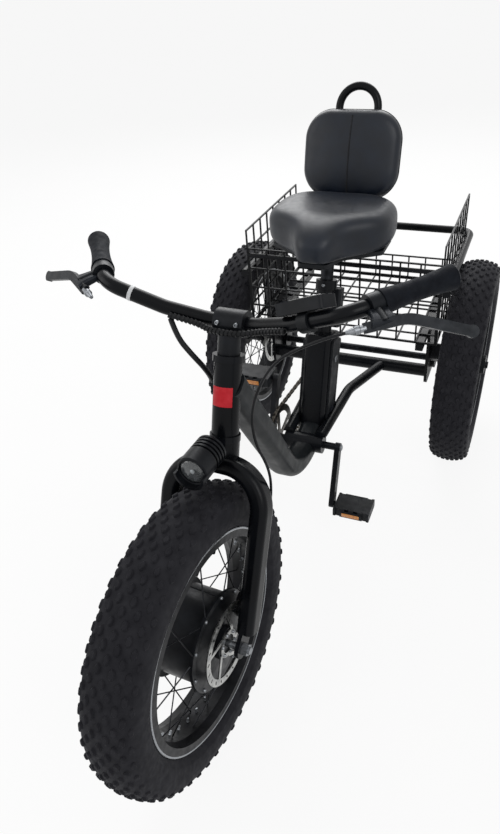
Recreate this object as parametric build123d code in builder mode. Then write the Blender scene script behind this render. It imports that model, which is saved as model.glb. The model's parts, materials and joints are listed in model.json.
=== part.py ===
"""Electric fat-tyre tricycle: step-through frame, front hub motor, rear wire basket. Millimetres.

Forward is -Y, the rider's left is +X and up is +Z. The origin is on the ground, half way between the
axles. Places along the machine are given as the distance behind the front axle.
"""
import os
from math import atan2, cos, degrees, hypot, pi, radians, sin

from build123d import *

# Stance
WHEELBASE = 1105.0
TRACK = 660.0
TYRE_RADIUS = 292.5
FRONT_Y = -WHEELBASE / 2
REAR_Y = WHEELBASE / 2

# Fits
RUNNING = 0.05  # radial play of a shaft in its bearing
SEAT = 0.3  # air between curved faces that rest on each other

# Wheels, all three on the same rim and tyre
TYRE_WIDTH = 108.0
TYRE_SHOULDER = 46.0
SHOULDER_DROP = 11.0
RIM_RADIUS = 213.0
RIM_WIDTH = 84.0
RIM_LIP = 3.0
RIM_FLANGE = 15.0
RIM_BED = 8.0
RIM_SEAT_RADIUS = RIM_RADIUS - RIM_FLANGE
RIM_INNER_RADIUS = RIM_SEAT_RADIUS - RIM_BED
RIM_INNER_WIDTH = 52.0
SPOKES = 36
SPOKE_RADIUS = 1.3
SPOKE_HUB_GAP = 1.5
SPOKE_RIM_GAP = 0.7
SPOKE_STAGGER = 4.0
ROTOR_RADIUS = 80.0
ROTOR_RING = 14.0
ROTOR_CARRIER = 27.0
ROTOR_ARM = 7.0
ROTOR_ARMS = 5
ROTOR_SWEEP = 30.0
ROTOR_BORE = 18.0
ROTOR_SLOTS = 20
ROTOR_THICK = 2.4

# Front hub motor
MOTOR_RADIUS = 86.0
MOTOR_WIDTH = 84.0
MOTOR_FLANGE_RADIUS = 97.0
MOTOR_FLANGE = 6.0
MOTOR_END_RADIUS = 32.0
MOTOR_END_WIDTH = 128.0
MOTOR_LACE = 24.0
FRONT_AXLE_RADIUS = 7.0
AXLE_TAIL = 4.0
AXLE_NUT_RADIUS = 12.0
AXLE_NUT = 12.0

# Rear hubs and axle
HUB_RADIUS = 20.0
HUB_FLANGE_RADIUS = 36.0
HUB_FLANGE = 4.0
HUB_FLANGE_SPACING = 62.0
HUB_LENGTH = 112.0
HUB_LACE = 62.0
REAR_AXLE_RADIUS = 10.0
REAR_AXLE_LENGTH = TRACK + HUB_LENGTH + 16.0
CAP_RADIUS = 27.0
CAP_LENGTH = 16.0
FREEWHEEL_RADIUS = 24.0
FREEWHEEL_WIDE = 14.0

# Steering
HEAD_LEAN = 19.5
STEER_BACK = 81.0  # where the steering axis crosses the height of the front axle
REST_STEER = -4.0  # the bars stand turned a little to the rider's right
HEAD_BOTTOM = 336.0  # along the steering axis
HEAD_TOP = 492.0
HEAD_RADIUS = 25.0
CUP_RADIUS = 28.0
CUP_HEIGHT = 12.0
STEERER_RADIUS = 14.3
STEERER_TOP = 528.0
STEM_TOP = 536.0
STEM_RADIUS = 20.0

# Fork
FORK_SPREAD = 92.0
BLADE_WIDE = 34.0
BLADE_DEEP = 42.0
BLADE_CORNER = 12.0
BLADE_FOOT = (-51.0, -6.0)  # behind and along the steering axis
BLADE_SHOULDER = (-17.0, 296.0)
FORK_BEND = 74.0
CROWN_RADIUS = 27.0
DROPOUT = 8.0
DROPOUT_WIDE = 40.0

# Handlebar: points out from the middle, behind the steering axis, along it
BAR_RADIUS = 12.7
BAR_PLACE = (46.0, 10.0, 545.0)
BAR_KNEE = (120.0, -18.0, 560.0)
BAR_ELBOW = (222.0, -50.0, 593.0)
BAR_END = (341.0, 84.0, 650.0)
BAR_BENDS = (80.0, 120.0, 50.0)
BAR_CLAMP_RADIUS = 23.0
BAR_CLAMP_LENGTH = 56.0
GRIP_LENGTH = 132.0
GRIP_RADIUS = 17.0
GRIP_FLARE = 21.0
GRIP_CAP = 6.0
LEVER_CLAMP = 22.0
LEVER_CLAMP_RADIUS = 19.0
LEVER_WIDE = 16.0
LEVER_THICK = 9.0
LEVER_PERCH = 9.0
LEVER_BALL = 9.5
LEVER_BEND = 60.0
LEVER_ROUTE = ((252.0, -64.0, 577.0), (308.0, -32.0, 596.0), (395.0, 5.0, 583.0))
DISPLAY = (96.0, 40.0, 20.0)
DISPLAY_FOOT = 10.0
DISPLAY_WALL = 5.0
DISPLAY_CORNER = 6.0
DISPLAY_ALONG = 0.3  # share of the run from knee to elbow

# Headlight on the front of the crown
LAMP_RADIUS = 29.0
LAMP_LENGTH = 66.0
LAMP_RIBS = 4
LAMP_RIB = 4.0
LAMP_FORWARD = 80.0
LAMP_ALONG = 322.0
LENS_RADIUS = 23.0
LENS_THICK = 6.0
LAMP_HOOD = 14.0
LAMP_FOOT = 300.0
LAMP_ARM = 9.0

# Frame: (behind the front axle, height)
MAIN_WIDE = 58.0
MAIN_DEEP = 52.0
MAIN_CORNER = 18.0
MAIN_BELLY = (508.0, 262.0)
MAIN_BEND = 170.0
MAIN_JOINT = 440.0  # along the steering axis
BB_PLACE = (612.0, 292.0)
BB_RADIUS = 23.0
BB_WIDTH = 100.0
MAST_LEAN = 16.7
MAST_FOOT = (698.0, 268.0)
MAST_LENGTH = 264.0
MAST_WIDE = 68.0
MAST_DEEP = 92.0
MAST_CORNER = 14.0
COVER_THICK = 5.0
COVER_MARGIN = 12.0
SEAT_TUBE_RADIUS = 21.0
SEAT_TUBE_LENGTH = 130.0
POST_RADIUS = 15.0
CLAMP_RADIUS = 26.0
CLAMP_HEIGHT = 22.0
STAY_RADIUS = 14.0
STAY_SPREAD = (42.0, 52.0, 98.0)
STAY_BEND = 160.0
STAY_HEIGHT = 316.0
STAY_LEAD = 200.0  # the stays' knee ahead of the rear beam
BEAM_PLACE = (1040.0, 286.0)
BEAM_RADIUS = 18.0
PLATE_X = 232.0
PLATE_THICK = 8.0
PLATE_MARGIN = 34.0
PLATE_LIP = 10.0
BEARING_RADIUS = 28.0
BEARING_WIDE = 26.0

# Seat
SADDLE_NOSE = 684.0
SADDLE_REAR = 962.0
SADDLE_HALF = 152.0
SADDLE_NOSE_HALF = 46.0
SADDLE_NECK = (66.0, 745.0)
SADDLE_WING = (800.0, 905.0)
SADDLE_TAIL_HALF = 98.0
SADDLE_PLAN_ROUND = 28.0
SADDLE_BOTTOM = 730.0
SADDLE_THICK = 98.0
SADDLE_ROUND = 22.0
PAN_THICK = 10.0
PAN_INSET = 16.0
BACK_WIDE = 246.0
BACK_TALL = 202.0
BACK_THICK = 52.0
BACK_CORNER = 52.0
BACK_LEAN = 16.0
BACK_PLACE = (1018.0, 882.0)
BACK_ROUND = 18.0
HOOP_RADIUS = 9.5
HOOP_HALF = 48.0
HOOP_TOP = 1030.0
HOOP_REACH = 158.0  # the hoop's legs run this far ahead of the pad
HOOP_KNEE = 40.0
CONTROLLER = (64.0, 38.0, 96.0)
CONTROLLER_UP = 58.0
CONTROLLER_CORNER = 6.0

# Basket
BASKET_FRONT = 932.0
BASKET_REAR = 1336.0
BASKET_HALF = 262.0
BASKET_FLOOR = 432.0
BASKET_TOP = 656.0
BASKET_REAR_TOP = 505.0
TOP_BAR_RADIUS = 6.0
TOP_BAR_DROP = 20.0
BASKET_SIDE_TOP = 704.0
WIRE = 4.0
MESH = 52.0
RAIL_RADIUS = 11.0
RAIL_HEIGHT = 582.0
RAIL_BEND = 36.0
BEARER = 20.0

# Drive
CRANK = 152.0
CRANK_ANGLE = 20.0  # the left arm points down and this far forward
ARM_X = 88.0
ARM_WIDE = 24.0
ARM_THICK = 13.0
SPINDLE_RADIUS = 9.0
CHAIN_X = -68.0
CHAINRING_TEETH = 42
SPROCKET_TEETH = 16
CHAIN_PITCH = 12.7
CHAIN_HIGH = 9.0
CHAIN_WIDE = 8.0
TOOTH_WIDE = 2.4
PEDAL_LONG = 92.0
PEDAL_DEEP = 68.0
PEDAL_THICK = 26.0
PEDAL_GAP = 5.0
PEDAL_AXLE_RADIUS = 6.0
PEDAL_TEETH = 4
PEDAL_CORNER = 6.0
PEDAL_NOTCH = 6.0
CHAINRING_BAND = 16.0
SPIDER_ARMS = 5
SPIDER_WIDE = 14.0
SPIDER_BOSS = 20.0
CHAIN_AIR = 0.8

# Brakes: block size, the air beside the disc and the way it points from the axle
CALIPER_DEEP = 40.0
CALIPER_LONG = 46.0
CALIPER_CORNER = 8.0
CALIPER_AIR = 1.5
CALIPER_SHOE = 7.0
CALIPER_AIM = (0.72, 0.69)  # behind and along, from the axle

# Cables: the brake cable rides on the turned front end, the control cables cross to the frame
CABLE_RADIUS = 2.5
BRAKE_CABLE = (
    (251.6, -64.2, 576.9),
    (214.5, -85.4, 564.3),
    (165.0, -80.0, 540.0),
    (115.0, -58.0, 508.0),
    (80.0, -38.0, 460.0),
    (64.0, -33.0, 405.0),
    (72.0, -26.0, 350.0),
    (94.0, -8.0, 304.0),
    (98.0, 2.4, 252.0),
    (95.0, -3.9, 198.0),
    (97.0, -10.0, 146.0),
    (86.0, 5.0, 104.0),
    (69.0, 13.0, 66.0),
    (67.0, -8.6, 38.4),
)
LOOM_RADIUS = 5.0
LOOM_START = ((-105.0, -21.3, 541.4), (-86.0, -30.0, 514.0), (-58.0, -28.0, 488.0))
LOOM_END = ((-42.0, 236.0, 722.0), (-46.0, 264.0, 676.0), (-34.5, 288.0, 620.0))

os.makedirs("parts", exist_ok=True)


def spot(x, back, height):
    """A point x to the left, back behind the front axle and height above the ground."""
    return Vector(x, FRONT_Y + back, height)


def write(piece, name):
    """Label a finished piece and write its file."""
    piece.label = name
    export_step(piece, f"parts/{name}.step")


def sweep_along(points, bends, draw, across=(1, 0, 0)):
    """Sweep the section that draw makes along straight runs joined by tangent arcs."""
    with BuildLine() as route:
        FilletPolyline(*points, radius=bends)
    start = Plane(origin=route.line @ 0, x_dir=across, z_dir=route.line % 0)
    with BuildSketch(start) as section:
        draw()
    sweep(section.sketch, path=route.line)


def rod(start, end, radius, mode=Mode.ADD):
    """A round bar between two points."""
    with BuildSketch(Plane(origin=start, z_dir=end - start)) as section:
        Circle(radius)
    extrude(section.sketch, amount=(end - start).length, mode=mode)


steer_straight = Plane(
    origin=spot(0, STEER_BACK, TYRE_RADIUS),
    x_dir=(1, 0, 0),
    z_dir=(0, sin(radians(HEAD_LEAN)), cos(radians(HEAD_LEAN))),
)
steer_plane = Plane(
    origin=steer_straight.origin,
    x_dir=steer_straight.x_dir.rotate(Axis((0, 0, 0), steer_straight.z_dir), REST_STEER),
    z_dir=steer_straight.z_dir,
)
HUB_BACK = -STEER_BACK * cos(radians(HEAD_LEAN))
HUB_ALONG = -STEER_BACK * sin(radians(HEAD_LEAN))


def steer(x, back, along):
    """A point on the turned front end: across, behind the steering axis and along it."""
    return steer_plane.from_local_coords(Vector(x, back, along))


def axle_plane(centre, out):
    """A wheel's own plane: its z runs along the axle towards the brake disc."""
    return Plane(origin=centre, x_dir=(0, 0, 1), z_dir=out)


front_axle = Plane(
    origin=steer(0, HUB_BACK, HUB_ALONG), x_dir=steer_plane.z_dir, z_dir=steer_plane.x_dir
)
WHEELS = {
    "front": front_axle,
    "left": axle_plane((TRACK / 2, REAR_Y, TYRE_RADIUS), (-1, 0, 0)),
    "right": axle_plane((-TRACK / 2, REAR_Y, TYRE_RADIUS), (1, 0, 0)),
}
# wheel: flange radius, flange to flange, lacing angle, disc's distance from the wheel's middle
HUBS = {
    "front": (MOTOR_FLANGE_RADIUS, MOTOR_WIDTH + MOTOR_FLANGE, MOTOR_LACE, MOTOR_END_WIDTH / 2),
    "left": (HUB_FLANGE_RADIUS, HUB_FLANGE_SPACING, HUB_LACE, HUB_LENGTH / 2),
    "right": (HUB_FLANGE_RADIUS, HUB_FLANGE_SPACING, HUB_LACE, HUB_LENGTH / 2),
}

for wheel, axle in WHEELS.items():
    turning = Axis(axle.origin, axle.z_dir)
    half_section = Plane(origin=axle.origin, x_dir=axle.z_dir, z_dir=axle.x_dir)
    flange_radius, flange_spacing, lace, disc_place = HUBS[wheel]

    # Balloon tyre, standing on the rim's well and bulging over its lips
    bead = RIM_WIDTH / 2 - RIM_LIP - SEAT
    with BuildPart() as tyre:
        with BuildSketch(half_section):
            with BuildLine():
                foot = Line((-bead, RIM_SEAT_RADIUS + SEAT), (bead, RIM_SEAT_RADIUS + SEAT))
                rise = Line(foot @ 1, (bead, RIM_RADIUS + SEAT))
                shoulder = TYRE_RADIUS - SHOULDER_DROP
                middle = (RIM_RADIUS + shoulder) / 2
                wall = ThreePointArc(rise @ 1, (TYRE_WIDTH / 2, middle), (TYRE_SHOULDER, shoulder))
                crown = ThreePointArc(wall @ 1, (0, TYRE_RADIUS), (-TYRE_SHOULDER, shoulder))
                back = ThreePointArc(
                    crown @ 1, (-TYRE_WIDTH / 2, middle), (-bead, RIM_RADIUS + SEAT)
                )
                Line(back @ 1, foot @ 0)
            make_face()
        revolve(axis=turning)
    write(tyre.part, f"{wheel}_tyre")

    # Wide rim with a lip each side and a shallow vee towards the hub
    with BuildPart() as rim:
        with BuildSketch(half_section):
            with BuildLine():
                lip = RIM_WIDTH / 2
                well = lip - RIM_LIP
                Polyline(
                    (-lip, RIM_RADIUS),
                    (-well, RIM_RADIUS),
                    (-well, RIM_SEAT_RADIUS),
                    (well, RIM_SEAT_RADIUS),
                    (well, RIM_RADIUS),
                    (lip, RIM_RADIUS),
                    (lip, RIM_SEAT_RADIUS - RIM_LIP),
                    (RIM_INNER_WIDTH / 2, RIM_INNER_RADIUS),
                    (-RIM_INNER_WIDTH / 2, RIM_INNER_RADIUS),
                    (-lip, RIM_SEAT_RADIUS - RIM_LIP),
                    close=True,
                )
            make_face()
        revolve(axis=turning)
    write(rim.part, f"{wheel}_rim")

    # Crossed spokes, in four sets: two flanges, leading and trailing
    with BuildPart() as spokes:
        for number in range(SPOKES):
            side = 1 if number % 2 else -1
            lead = 1 if number % 4 < 2 else -1
            rim_angle = radians(360 * number / SPOKES)
            hub_angle = rim_angle + radians(lead * lace)
            hub_reach = flange_radius + SPOKE_HUB_GAP
            rim_reach = RIM_INNER_RADIUS - SPOKE_RIM_GAP
            inner = axle.from_local_coords(
                Vector(
                    hub_reach * cos(hub_angle),
                    hub_reach * sin(hub_angle),
                    side * (flange_spacing + lead * SPOKE_STAGGER / 2) / 2,
                )
            )
            outer = axle.from_local_coords(
                Vector(
                    rim_reach * cos(rim_angle),
                    rim_reach * sin(rim_angle),
                    side * (RIM_INNER_WIDTH / 4 + lead * SPOKE_STAGGER),
                )
            )
            with BuildSketch(Plane(origin=inner, z_dir=outer - inner)):
                RegularPolygon(SPOKE_RADIUS, 6)
            extrude(amount=(outer - inner).length)
    write(spokes.part, f"{wheel}_spokes")

    # Brake disc: a slotted ring on swept arms, bolted to the hub's end
    with BuildPart() as rotor:
        with BuildSketch(axle.offset(disc_place + SEAT)):
            ring_inner = ROTOR_RADIUS - ROTOR_RING
            Circle(ROTOR_RADIUS)
            Circle(ring_inner, mode=Mode.SUBTRACT)
            with PolarLocations(ROTOR_RADIUS - ROTOR_RING / 2, ROTOR_SLOTS):
                Rectangle(ROTOR_RING / 2, ROTOR_RING / 4, rotation=30, mode=Mode.SUBTRACT)
            with PolarLocations((ring_inner + ROTOR_CARRIER) / 2, ROTOR_ARMS):
                SlotCenterToCenter(
                    (ring_inner - ROTOR_CARRIER) / cos(radians(ROTOR_SWEEP)),
                    ROTOR_ARM,
                    rotation=ROTOR_SWEEP,
                )
            Circle(ROTOR_CARRIER)
            Circle(ROTOR_BORE, mode=Mode.SUBTRACT)
        extrude(amount=ROTOR_THICK)
    write(rotor.part, f"{wheel}_rotor")

# Front hub motor: drum between two spoke flanges, with dished ends
with BuildPart() as motor:
    axis_plane = Plane(origin=front_axle.origin, x_dir=front_axle.z_dir, z_dir=front_axle.x_dir)
    with BuildSketch(axis_plane):
        with BuildLine():
            bore = FRONT_AXLE_RADIUS + RUNNING
            drum = MOTOR_WIDTH / 2
            flange = drum + MOTOR_FLANGE
            end = MOTOR_END_WIDTH / 2
            Polyline(
                (-end, bore),
                (end, bore),
                (end, MOTOR_END_RADIUS),
                (flange + MOTOR_FLANGE, MOTOR_END_RADIUS),
                (flange, MOTOR_RADIUS),
                (flange, MOTOR_FLANGE_RADIUS),
                (drum, MOTOR_FLANGE_RADIUS),
                (drum, MOTOR_RADIUS),
                (-drum, MOTOR_RADIUS),
                (-drum, MOTOR_FLANGE_RADIUS),
                (-flange, MOTOR_FLANGE_RADIUS),
                (-flange, MOTOR_RADIUS),
                (-flange - MOTOR_FLANGE, MOTOR_END_RADIUS),
                (-end, MOTOR_END_RADIUS),
                close=True,
            )
        make_face()
    revolve(axis=Axis(front_axle.origin, front_axle.z_dir))
write(motor.part, "front_hub_motor")

# Front axle with a nut outside each dropout
with BuildPart() as axle_bolt:
    with BuildSketch(front_axle):
        Circle(FRONT_AXLE_RADIUS)
    extrude(amount=FORK_SPREAD + DROPOUT / 2 + AXLE_NUT + AXLE_TAIL, both=True)
    for side in (-1, 1):
        nut_plane = front_axle.offset(side * (FORK_SPREAD + DROPOUT / 2))
        with BuildSketch(nut_plane):
            RegularPolygon(AXLE_NUT_RADIUS, 6)
        extrude(amount=side * AXLE_NUT)
write(axle_bolt.part, "front_axle")

# Rear hubs: barrel, two spoke flanges and a cap on the outer end
for wheel in ("left", "right"):
    axle = WHEELS[wheel]
    with BuildPart() as hub:
        with BuildSketch(Plane(origin=axle.origin, x_dir=axle.z_dir, z_dir=axle.x_dir)):
            with BuildLine():
                bore = REAR_AXLE_RADIUS + RUNNING
                inside = HUB_FLANGE_SPACING / 2 - HUB_FLANGE / 2
                outside = HUB_FLANGE_SPACING / 2 + HUB_FLANGE / 2
                end = HUB_LENGTH / 2
                Polyline(
                    (-end, bore),
                    (end, bore),
                    (end, HUB_RADIUS),
                    (outside, HUB_RADIUS),
                    (outside, HUB_FLANGE_RADIUS),
                    (inside, HUB_FLANGE_RADIUS),
                    (inside, HUB_RADIUS),
                    (-inside, HUB_RADIUS),
                    (-inside, HUB_FLANGE_RADIUS),
                    (-outside, HUB_FLANGE_RADIUS),
                    (-outside, HUB_RADIUS),
                    (-end + CAP_LENGTH, CAP_RADIUS),
                    (-end, CAP_RADIUS),
                    close=True,
                )
            make_face()
        revolve(axis=Axis(axle.origin, axle.z_dir))
    write(hub.part, f"{wheel}_hub")

# Drive axle: it turns with the right wheel, and the left wheel runs free on its end
chain_radius = {
    teeth: CHAIN_PITCH / (2 * sin(pi / teeth)) for teeth in (CHAINRING_TEETH, SPROCKET_TEETH)
}
axle_line = spot(0, WHEELBASE, TYRE_RADIUS)
with BuildPart() as drive_axle:
    with BuildSketch(Plane(origin=axle_line, z_dir=(1, 0, 0))):
        Circle(REAR_AXLE_RADIUS)
    extrude(amount=REAR_AXLE_LENGTH / 2, both=True)
write(drive_axle.part, "rear_axle")

with BuildPart() as sprocket:
    with BuildSketch(Plane(origin=axle_line + Vector(CHAIN_X, 0, 0), z_dir=(1, 0, 0))):
        Circle(chain_radius[SPROCKET_TEETH] + TOOTH_WIDE / 2)
        Circle(REAR_AXLE_RADIUS, mode=Mode.SUBTRACT)
    extrude(amount=TOOTH_WIDE / 2, both=True)
    with BuildSketch(Plane(origin=axle_line + Vector(CHAIN_X, 0, 0), z_dir=(1, 0, 0))):
        Circle(FREEWHEEL_RADIUS)
        Circle(REAR_AXLE_RADIUS, mode=Mode.SUBTRACT)
    extrude(amount=FREEWHEEL_WIDE)
write(sprocket.part, "rear_sprocket")

# Head tube with a bearing cup at each end
with BuildPart() as head_tube:
    for low, high, radius in (
        (HEAD_BOTTOM, HEAD_BOTTOM + CUP_HEIGHT, CUP_RADIUS),
        (HEAD_BOTTOM + CUP_HEIGHT, HEAD_TOP - CUP_HEIGHT, HEAD_RADIUS),
        (HEAD_TOP - CUP_HEIGHT, HEAD_TOP, CUP_RADIUS),
    ):
        with BuildSketch(steer_straight.offset(low)):
            Circle(radius)
        extrude(amount=high - low)
    with BuildSketch(steer_straight.offset(HEAD_BOTTOM)):
        Circle(STEERER_RADIUS + RUNNING)
    extrude(amount=HEAD_TOP - HEAD_BOTTOM, mode=Mode.SUBTRACT)
write(head_tube.part, "head_tube")

# Seat mast: a broad boxed tube that holds the battery, leaning back
mast_plane = Plane(
    origin=spot(0, *MAST_FOOT),
    x_dir=(1, 0, 0),
    z_dir=(0, sin(radians(MAST_LEAN)), cos(radians(MAST_LEAN))),
)
with BuildPart() as mast:
    with BuildSketch(mast_plane):
        RectangleRounded(MAST_WIDE, MAST_DEEP, MAST_CORNER)
    extrude(amount=MAST_LENGTH)
    fillet(mast.faces().sort_by(Axis.Z)[-1].edges(), MAST_CORNER / 2)
write(mast.part, "seat_mast")

with BuildPart() as covers:
    cover_tall = MAST_LENGTH - 2 * MAST_CORNER
    for side in (-1, 1):
        cover_plane = Plane(
            origin=mast_plane.from_local_coords(
                Vector(side * (MAST_WIDE / 2 + SEAT), 0, MAST_LENGTH / 2)
            ),
            x_dir=mast_plane.z_dir,
            z_dir=(side, 0, 0),
        )
        with BuildSketch(cover_plane):
            RectangleRounded(cover_tall, MAST_DEEP - 2 * COVER_MARGIN, COVER_MARGIN)
        extrude(amount=COVER_THICK)
write(covers.part, "battery_covers")

with BuildPart() as seat_tube:
    with BuildSketch(mast_plane.offset(MAST_LENGTH)):
        Circle(SEAT_TUBE_RADIUS)
    extrude(amount=SEAT_TUBE_LENGTH)
    with BuildSketch(mast_plane.offset(MAST_LENGTH + SEAT_TUBE_LENGTH - CLAMP_HEIGHT)):
        Circle(CLAMP_RADIUS)
    extrude(amount=CLAMP_HEIGHT)
write(seat_tube.part, "seat_tube")

# Bottom bracket shell, the main tube that curves down to it and the stays behind it
bb_centre = spot(0, *BB_PLACE)
with BuildPart() as shell:
    with BuildSketch(Plane(origin=bb_centre, z_dir=(1, 0, 0))):
        Circle(BB_RADIUS)
        Circle(SPINDLE_RADIUS + RUNNING, mode=Mode.SUBTRACT)
    extrude(amount=BB_WIDTH / 2, both=True)
write(shell.part, "bottom_bracket")

with BuildPart() as main_tube:
    head_joint = steer_straight.from_local_coords(Vector(0, 0, MAIN_JOINT))
    sweep_along(
        [head_joint, spot(0, *MAIN_BELLY), spot(0, *MAST_FOOT) + Vector(0, 0, MAIN_DEEP / 2)],
        MAIN_BEND,
        lambda: RectangleRounded(MAIN_WIDE, MAIN_DEEP, MAIN_CORNER),
    )
    with BuildSketch(steer_straight.offset(HEAD_BOTTOM)):
        Circle(HEAD_RADIUS)
    extrude(amount=HEAD_TOP - HEAD_BOTTOM, mode=Mode.SUBTRACT)
    with BuildSketch(Plane(origin=bb_centre, z_dir=(1, 0, 0))):
        Circle(BB_RADIUS)
    extrude(amount=BB_WIDTH / 2, both=True, mode=Mode.SUBTRACT)
    with BuildSketch(mast_plane):
        RectangleRounded(MAST_WIDE, MAST_DEEP, MAST_CORNER)
    extrude(amount=MAST_LENGTH, both=True, mode=Mode.SUBTRACT)
write(main_tube.part, "main_tube")

with BuildPart() as beam:
    with BuildSketch(Plane(origin=spot(0, *BEAM_PLACE), z_dir=(1, 0, 0))):
        Circle(BEAM_RADIUS)
    extrude(amount=PLATE_X - PLATE_THICK / 2, both=True)
write(beam.part, "rear_beam")

with BuildPart() as stays:
    for side in (-1, 1):
        inner, middle, outer = (side * reach for reach in STAY_SPREAD)
        sweep_along(
            [
                spot(inner, BB_PLACE[0], STAY_HEIGHT),
                spot(middle, BEAM_PLACE[0] - STAY_LEAD, STAY_HEIGHT),
                spot(outer, *BEAM_PLACE),
            ],
            STAY_BEND,
            lambda: Circle(STAY_RADIUS),
        )
    with BuildSketch(Plane(origin=bb_centre, z_dir=(1, 0, 0))):
        Circle(BB_RADIUS)
    extrude(amount=BB_WIDTH, both=True, mode=Mode.SUBTRACT)
    with BuildSketch(mast_plane):
        Rectangle(MAST_WIDE + 2 * (SEAT + COVER_THICK), MAST_DEEP)
    extrude(amount=MAST_LENGTH, mode=Mode.SUBTRACT)
    with BuildSketch(Plane(origin=spot(0, *BEAM_PLACE), z_dir=(1, 0, 0))):
        Circle(BEAM_RADIUS)
    extrude(amount=PLATE_X, both=True, mode=Mode.SUBTRACT)
write(stays.part, "chain_stays")

# Bearing plates at the ends of the beam, with a pillow boss round the axle
with BuildPart() as plates:
    plate_front = BEAM_PLACE[0] - PLATE_MARGIN
    plate_rear = WHEELBASE + PLATE_MARGIN
    plate_low = BEAM_PLACE[1] - BEAM_RADIUS - PLATE_LIP
    plate_top = BASKET_FLOOR - WIRE / 2
    for side in (-1, 1):
        plate_plane = Plane(
            origin=spot(
                side * PLATE_X, (plate_front + plate_rear) / 2, (plate_low + plate_top) / 2
            ),
            x_dir=(0, 1, 0),
            z_dir=(1, 0, 0),
        )
        with BuildSketch(plate_plane):
            RectangleRounded(plate_rear - plate_front, plate_top - plate_low, PLATE_LIP * 2)
        extrude(amount=PLATE_THICK / 2, both=True)
        boss_plane = Plane(origin=spot(side * PLATE_X, WHEELBASE, TYRE_RADIUS), z_dir=(1, 0, 0))
        with BuildSketch(boss_plane):
            Circle(BEARING_RADIUS)
        extrude(amount=BEARING_WIDE / 2, both=True)
        with BuildSketch(boss_plane):
            Circle(REAR_AXLE_RADIUS + RUNNING)
        extrude(amount=BEARING_WIDE, both=True, mode=Mode.SUBTRACT)
write(plates.part, "axle_plates")

# Square bearers that carry the basket from the plates
with BuildPart() as bearers:
    bearer_x = PLATE_X - PLATE_THICK / 2 - BEARER / 2
    bearer_long = BASKET_REAR - BASKET_FRONT
    for side in (-1, 1):
        middle = spot(
            side * bearer_x,
            (BASKET_FRONT + BASKET_REAR) / 2,
            BASKET_FLOOR - WIRE / 2 - BEARER / 2,
        )
        with BuildSketch(Plane(origin=middle, z_dir=(0, 1, 0))):
            Rectangle(BEARER, BEARER)
        extrude(amount=bearer_long / 2, both=True)
write(bearers.part, "basket_bearers")


def lattice(width, height, across, down):
    """Welded wire panel: uprights every mesh and level wires, with a wire round the edge."""
    step_x = (width - WIRE) / across
    step_y = (height - WIRE) / down
    with GridLocations(step_x, 0, across + 1, 1):
        Rectangle(WIRE, height)
    with GridLocations(0, step_y, 1, down + 1):
        Rectangle(width, WIRE)


# Wire basket, a welded panel on each side and a floor on the bearers
basket_long = BASKET_REAR - BASKET_FRONT
basket_mid = (BASKET_FRONT + BASKET_REAR) / 2
panel_low = BASKET_FLOOR + WIRE / 2
basket_wide = 2 * BASKET_HALF - WIRE
with BuildPart() as floor:
    with BuildSketch(Plane(origin=spot(0, basket_mid, BASKET_FLOOR), x_dir=(1, 0, 0))):
        lattice(basket_wide, basket_long - WIRE, round(basket_wide / MESH), round(basket_long / MESH))
    extrude(amount=WIRE / 2, both=True)
write(floor.part, "basket_floor")

for end, back, top in (("front", BASKET_FRONT, BASKET_TOP), ("rear", BASKET_REAR, BASKET_REAR_TOP)):
    with BuildPart() as panel:
        tall = top - panel_low
        centre = spot(0, back, (panel_low + top) / 2)
        with BuildSketch(Plane(origin=centre, x_dir=(1, 0, 0), z_dir=(0, -1, 0))):
            lattice(basket_wide, tall, round(basket_wide / MESH), round(tall / MESH))
        extrude(amount=WIRE / 2, both=True)
        if end == "front":
            bar_half = basket_wide / 2 - SEAT
            bar_level = top - TOP_BAR_DROP
            rod(spot(-bar_half, back, bar_level), spot(bar_half, back, bar_level), TOP_BAR_RADIUS)
    write(panel.part, f"basket_{end}")

for side, hand in ((1, "left"), (-1, "right")):
    with BuildPart() as panel:
        tall = BASKET_SIDE_TOP - BASKET_FLOOR
        centre = spot(side * BASKET_HALF, basket_mid, BASKET_FLOOR + tall / 2)
        with BuildSketch(Plane(origin=centre, x_dir=(0, 1, 0), z_dir=(1, 0, 0))):
            lattice(basket_long, tall, round(basket_long / MESH), round(tall / MESH))
        extrude(amount=WIRE / 2, both=True)
    write(panel.part, f"basket_{hand}")

with BuildPart() as rail:
    rail_half = BASKET_HALF + WIRE / 2 + RAIL_RADIUS + SEAT
    rail_rear = BASKET_REAR + WIRE / 2 + RAIL_BEND
    sweep_along(
        [
            spot(rail_half, BASKET_FRONT, RAIL_HEIGHT),
            spot(rail_half, rail_rear, RAIL_HEIGHT),
            spot(-rail_half, rail_rear, RAIL_HEIGHT),
            spot(-rail_half, BASKET_FRONT, RAIL_HEIGHT),
        ],
        RAIL_BEND,
        lambda: Circle(RAIL_RADIUS),
    )
write(rail.part, "basket_rail")

# Saddle: broad at the back, on a pan and a round post
saddle_outline = [
    (SADDLE_NOSE_HALF, SADDLE_NOSE),
    (SADDLE_NECK[0], SADDLE_NECK[1]),
    (SADDLE_HALF, SADDLE_WING[0]),
    (SADDLE_HALF, SADDLE_WING[1]),
    (SADDLE_TAIL_HALF, SADDLE_REAR),
]
saddle_outline += [(-x, back) for x, back in reversed(saddle_outline)]
with BuildSketch(Plane(origin=(0, FRONT_Y, SADDLE_BOTTOM))) as saddle_plan:
    with BuildLine():
        Polyline(*saddle_outline, close=True)
    make_face()
    fillet(saddle_plan.vertices(), SADDLE_PLAN_ROUND)

with BuildPart() as saddle:
    extrude(saddle_plan.sketch, amount=SADDLE_THICK)
    fillet(saddle.faces().sort_by(Axis.Z)[-1].edges(), SADDLE_ROUND)
write(saddle.part, "saddle")

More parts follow.
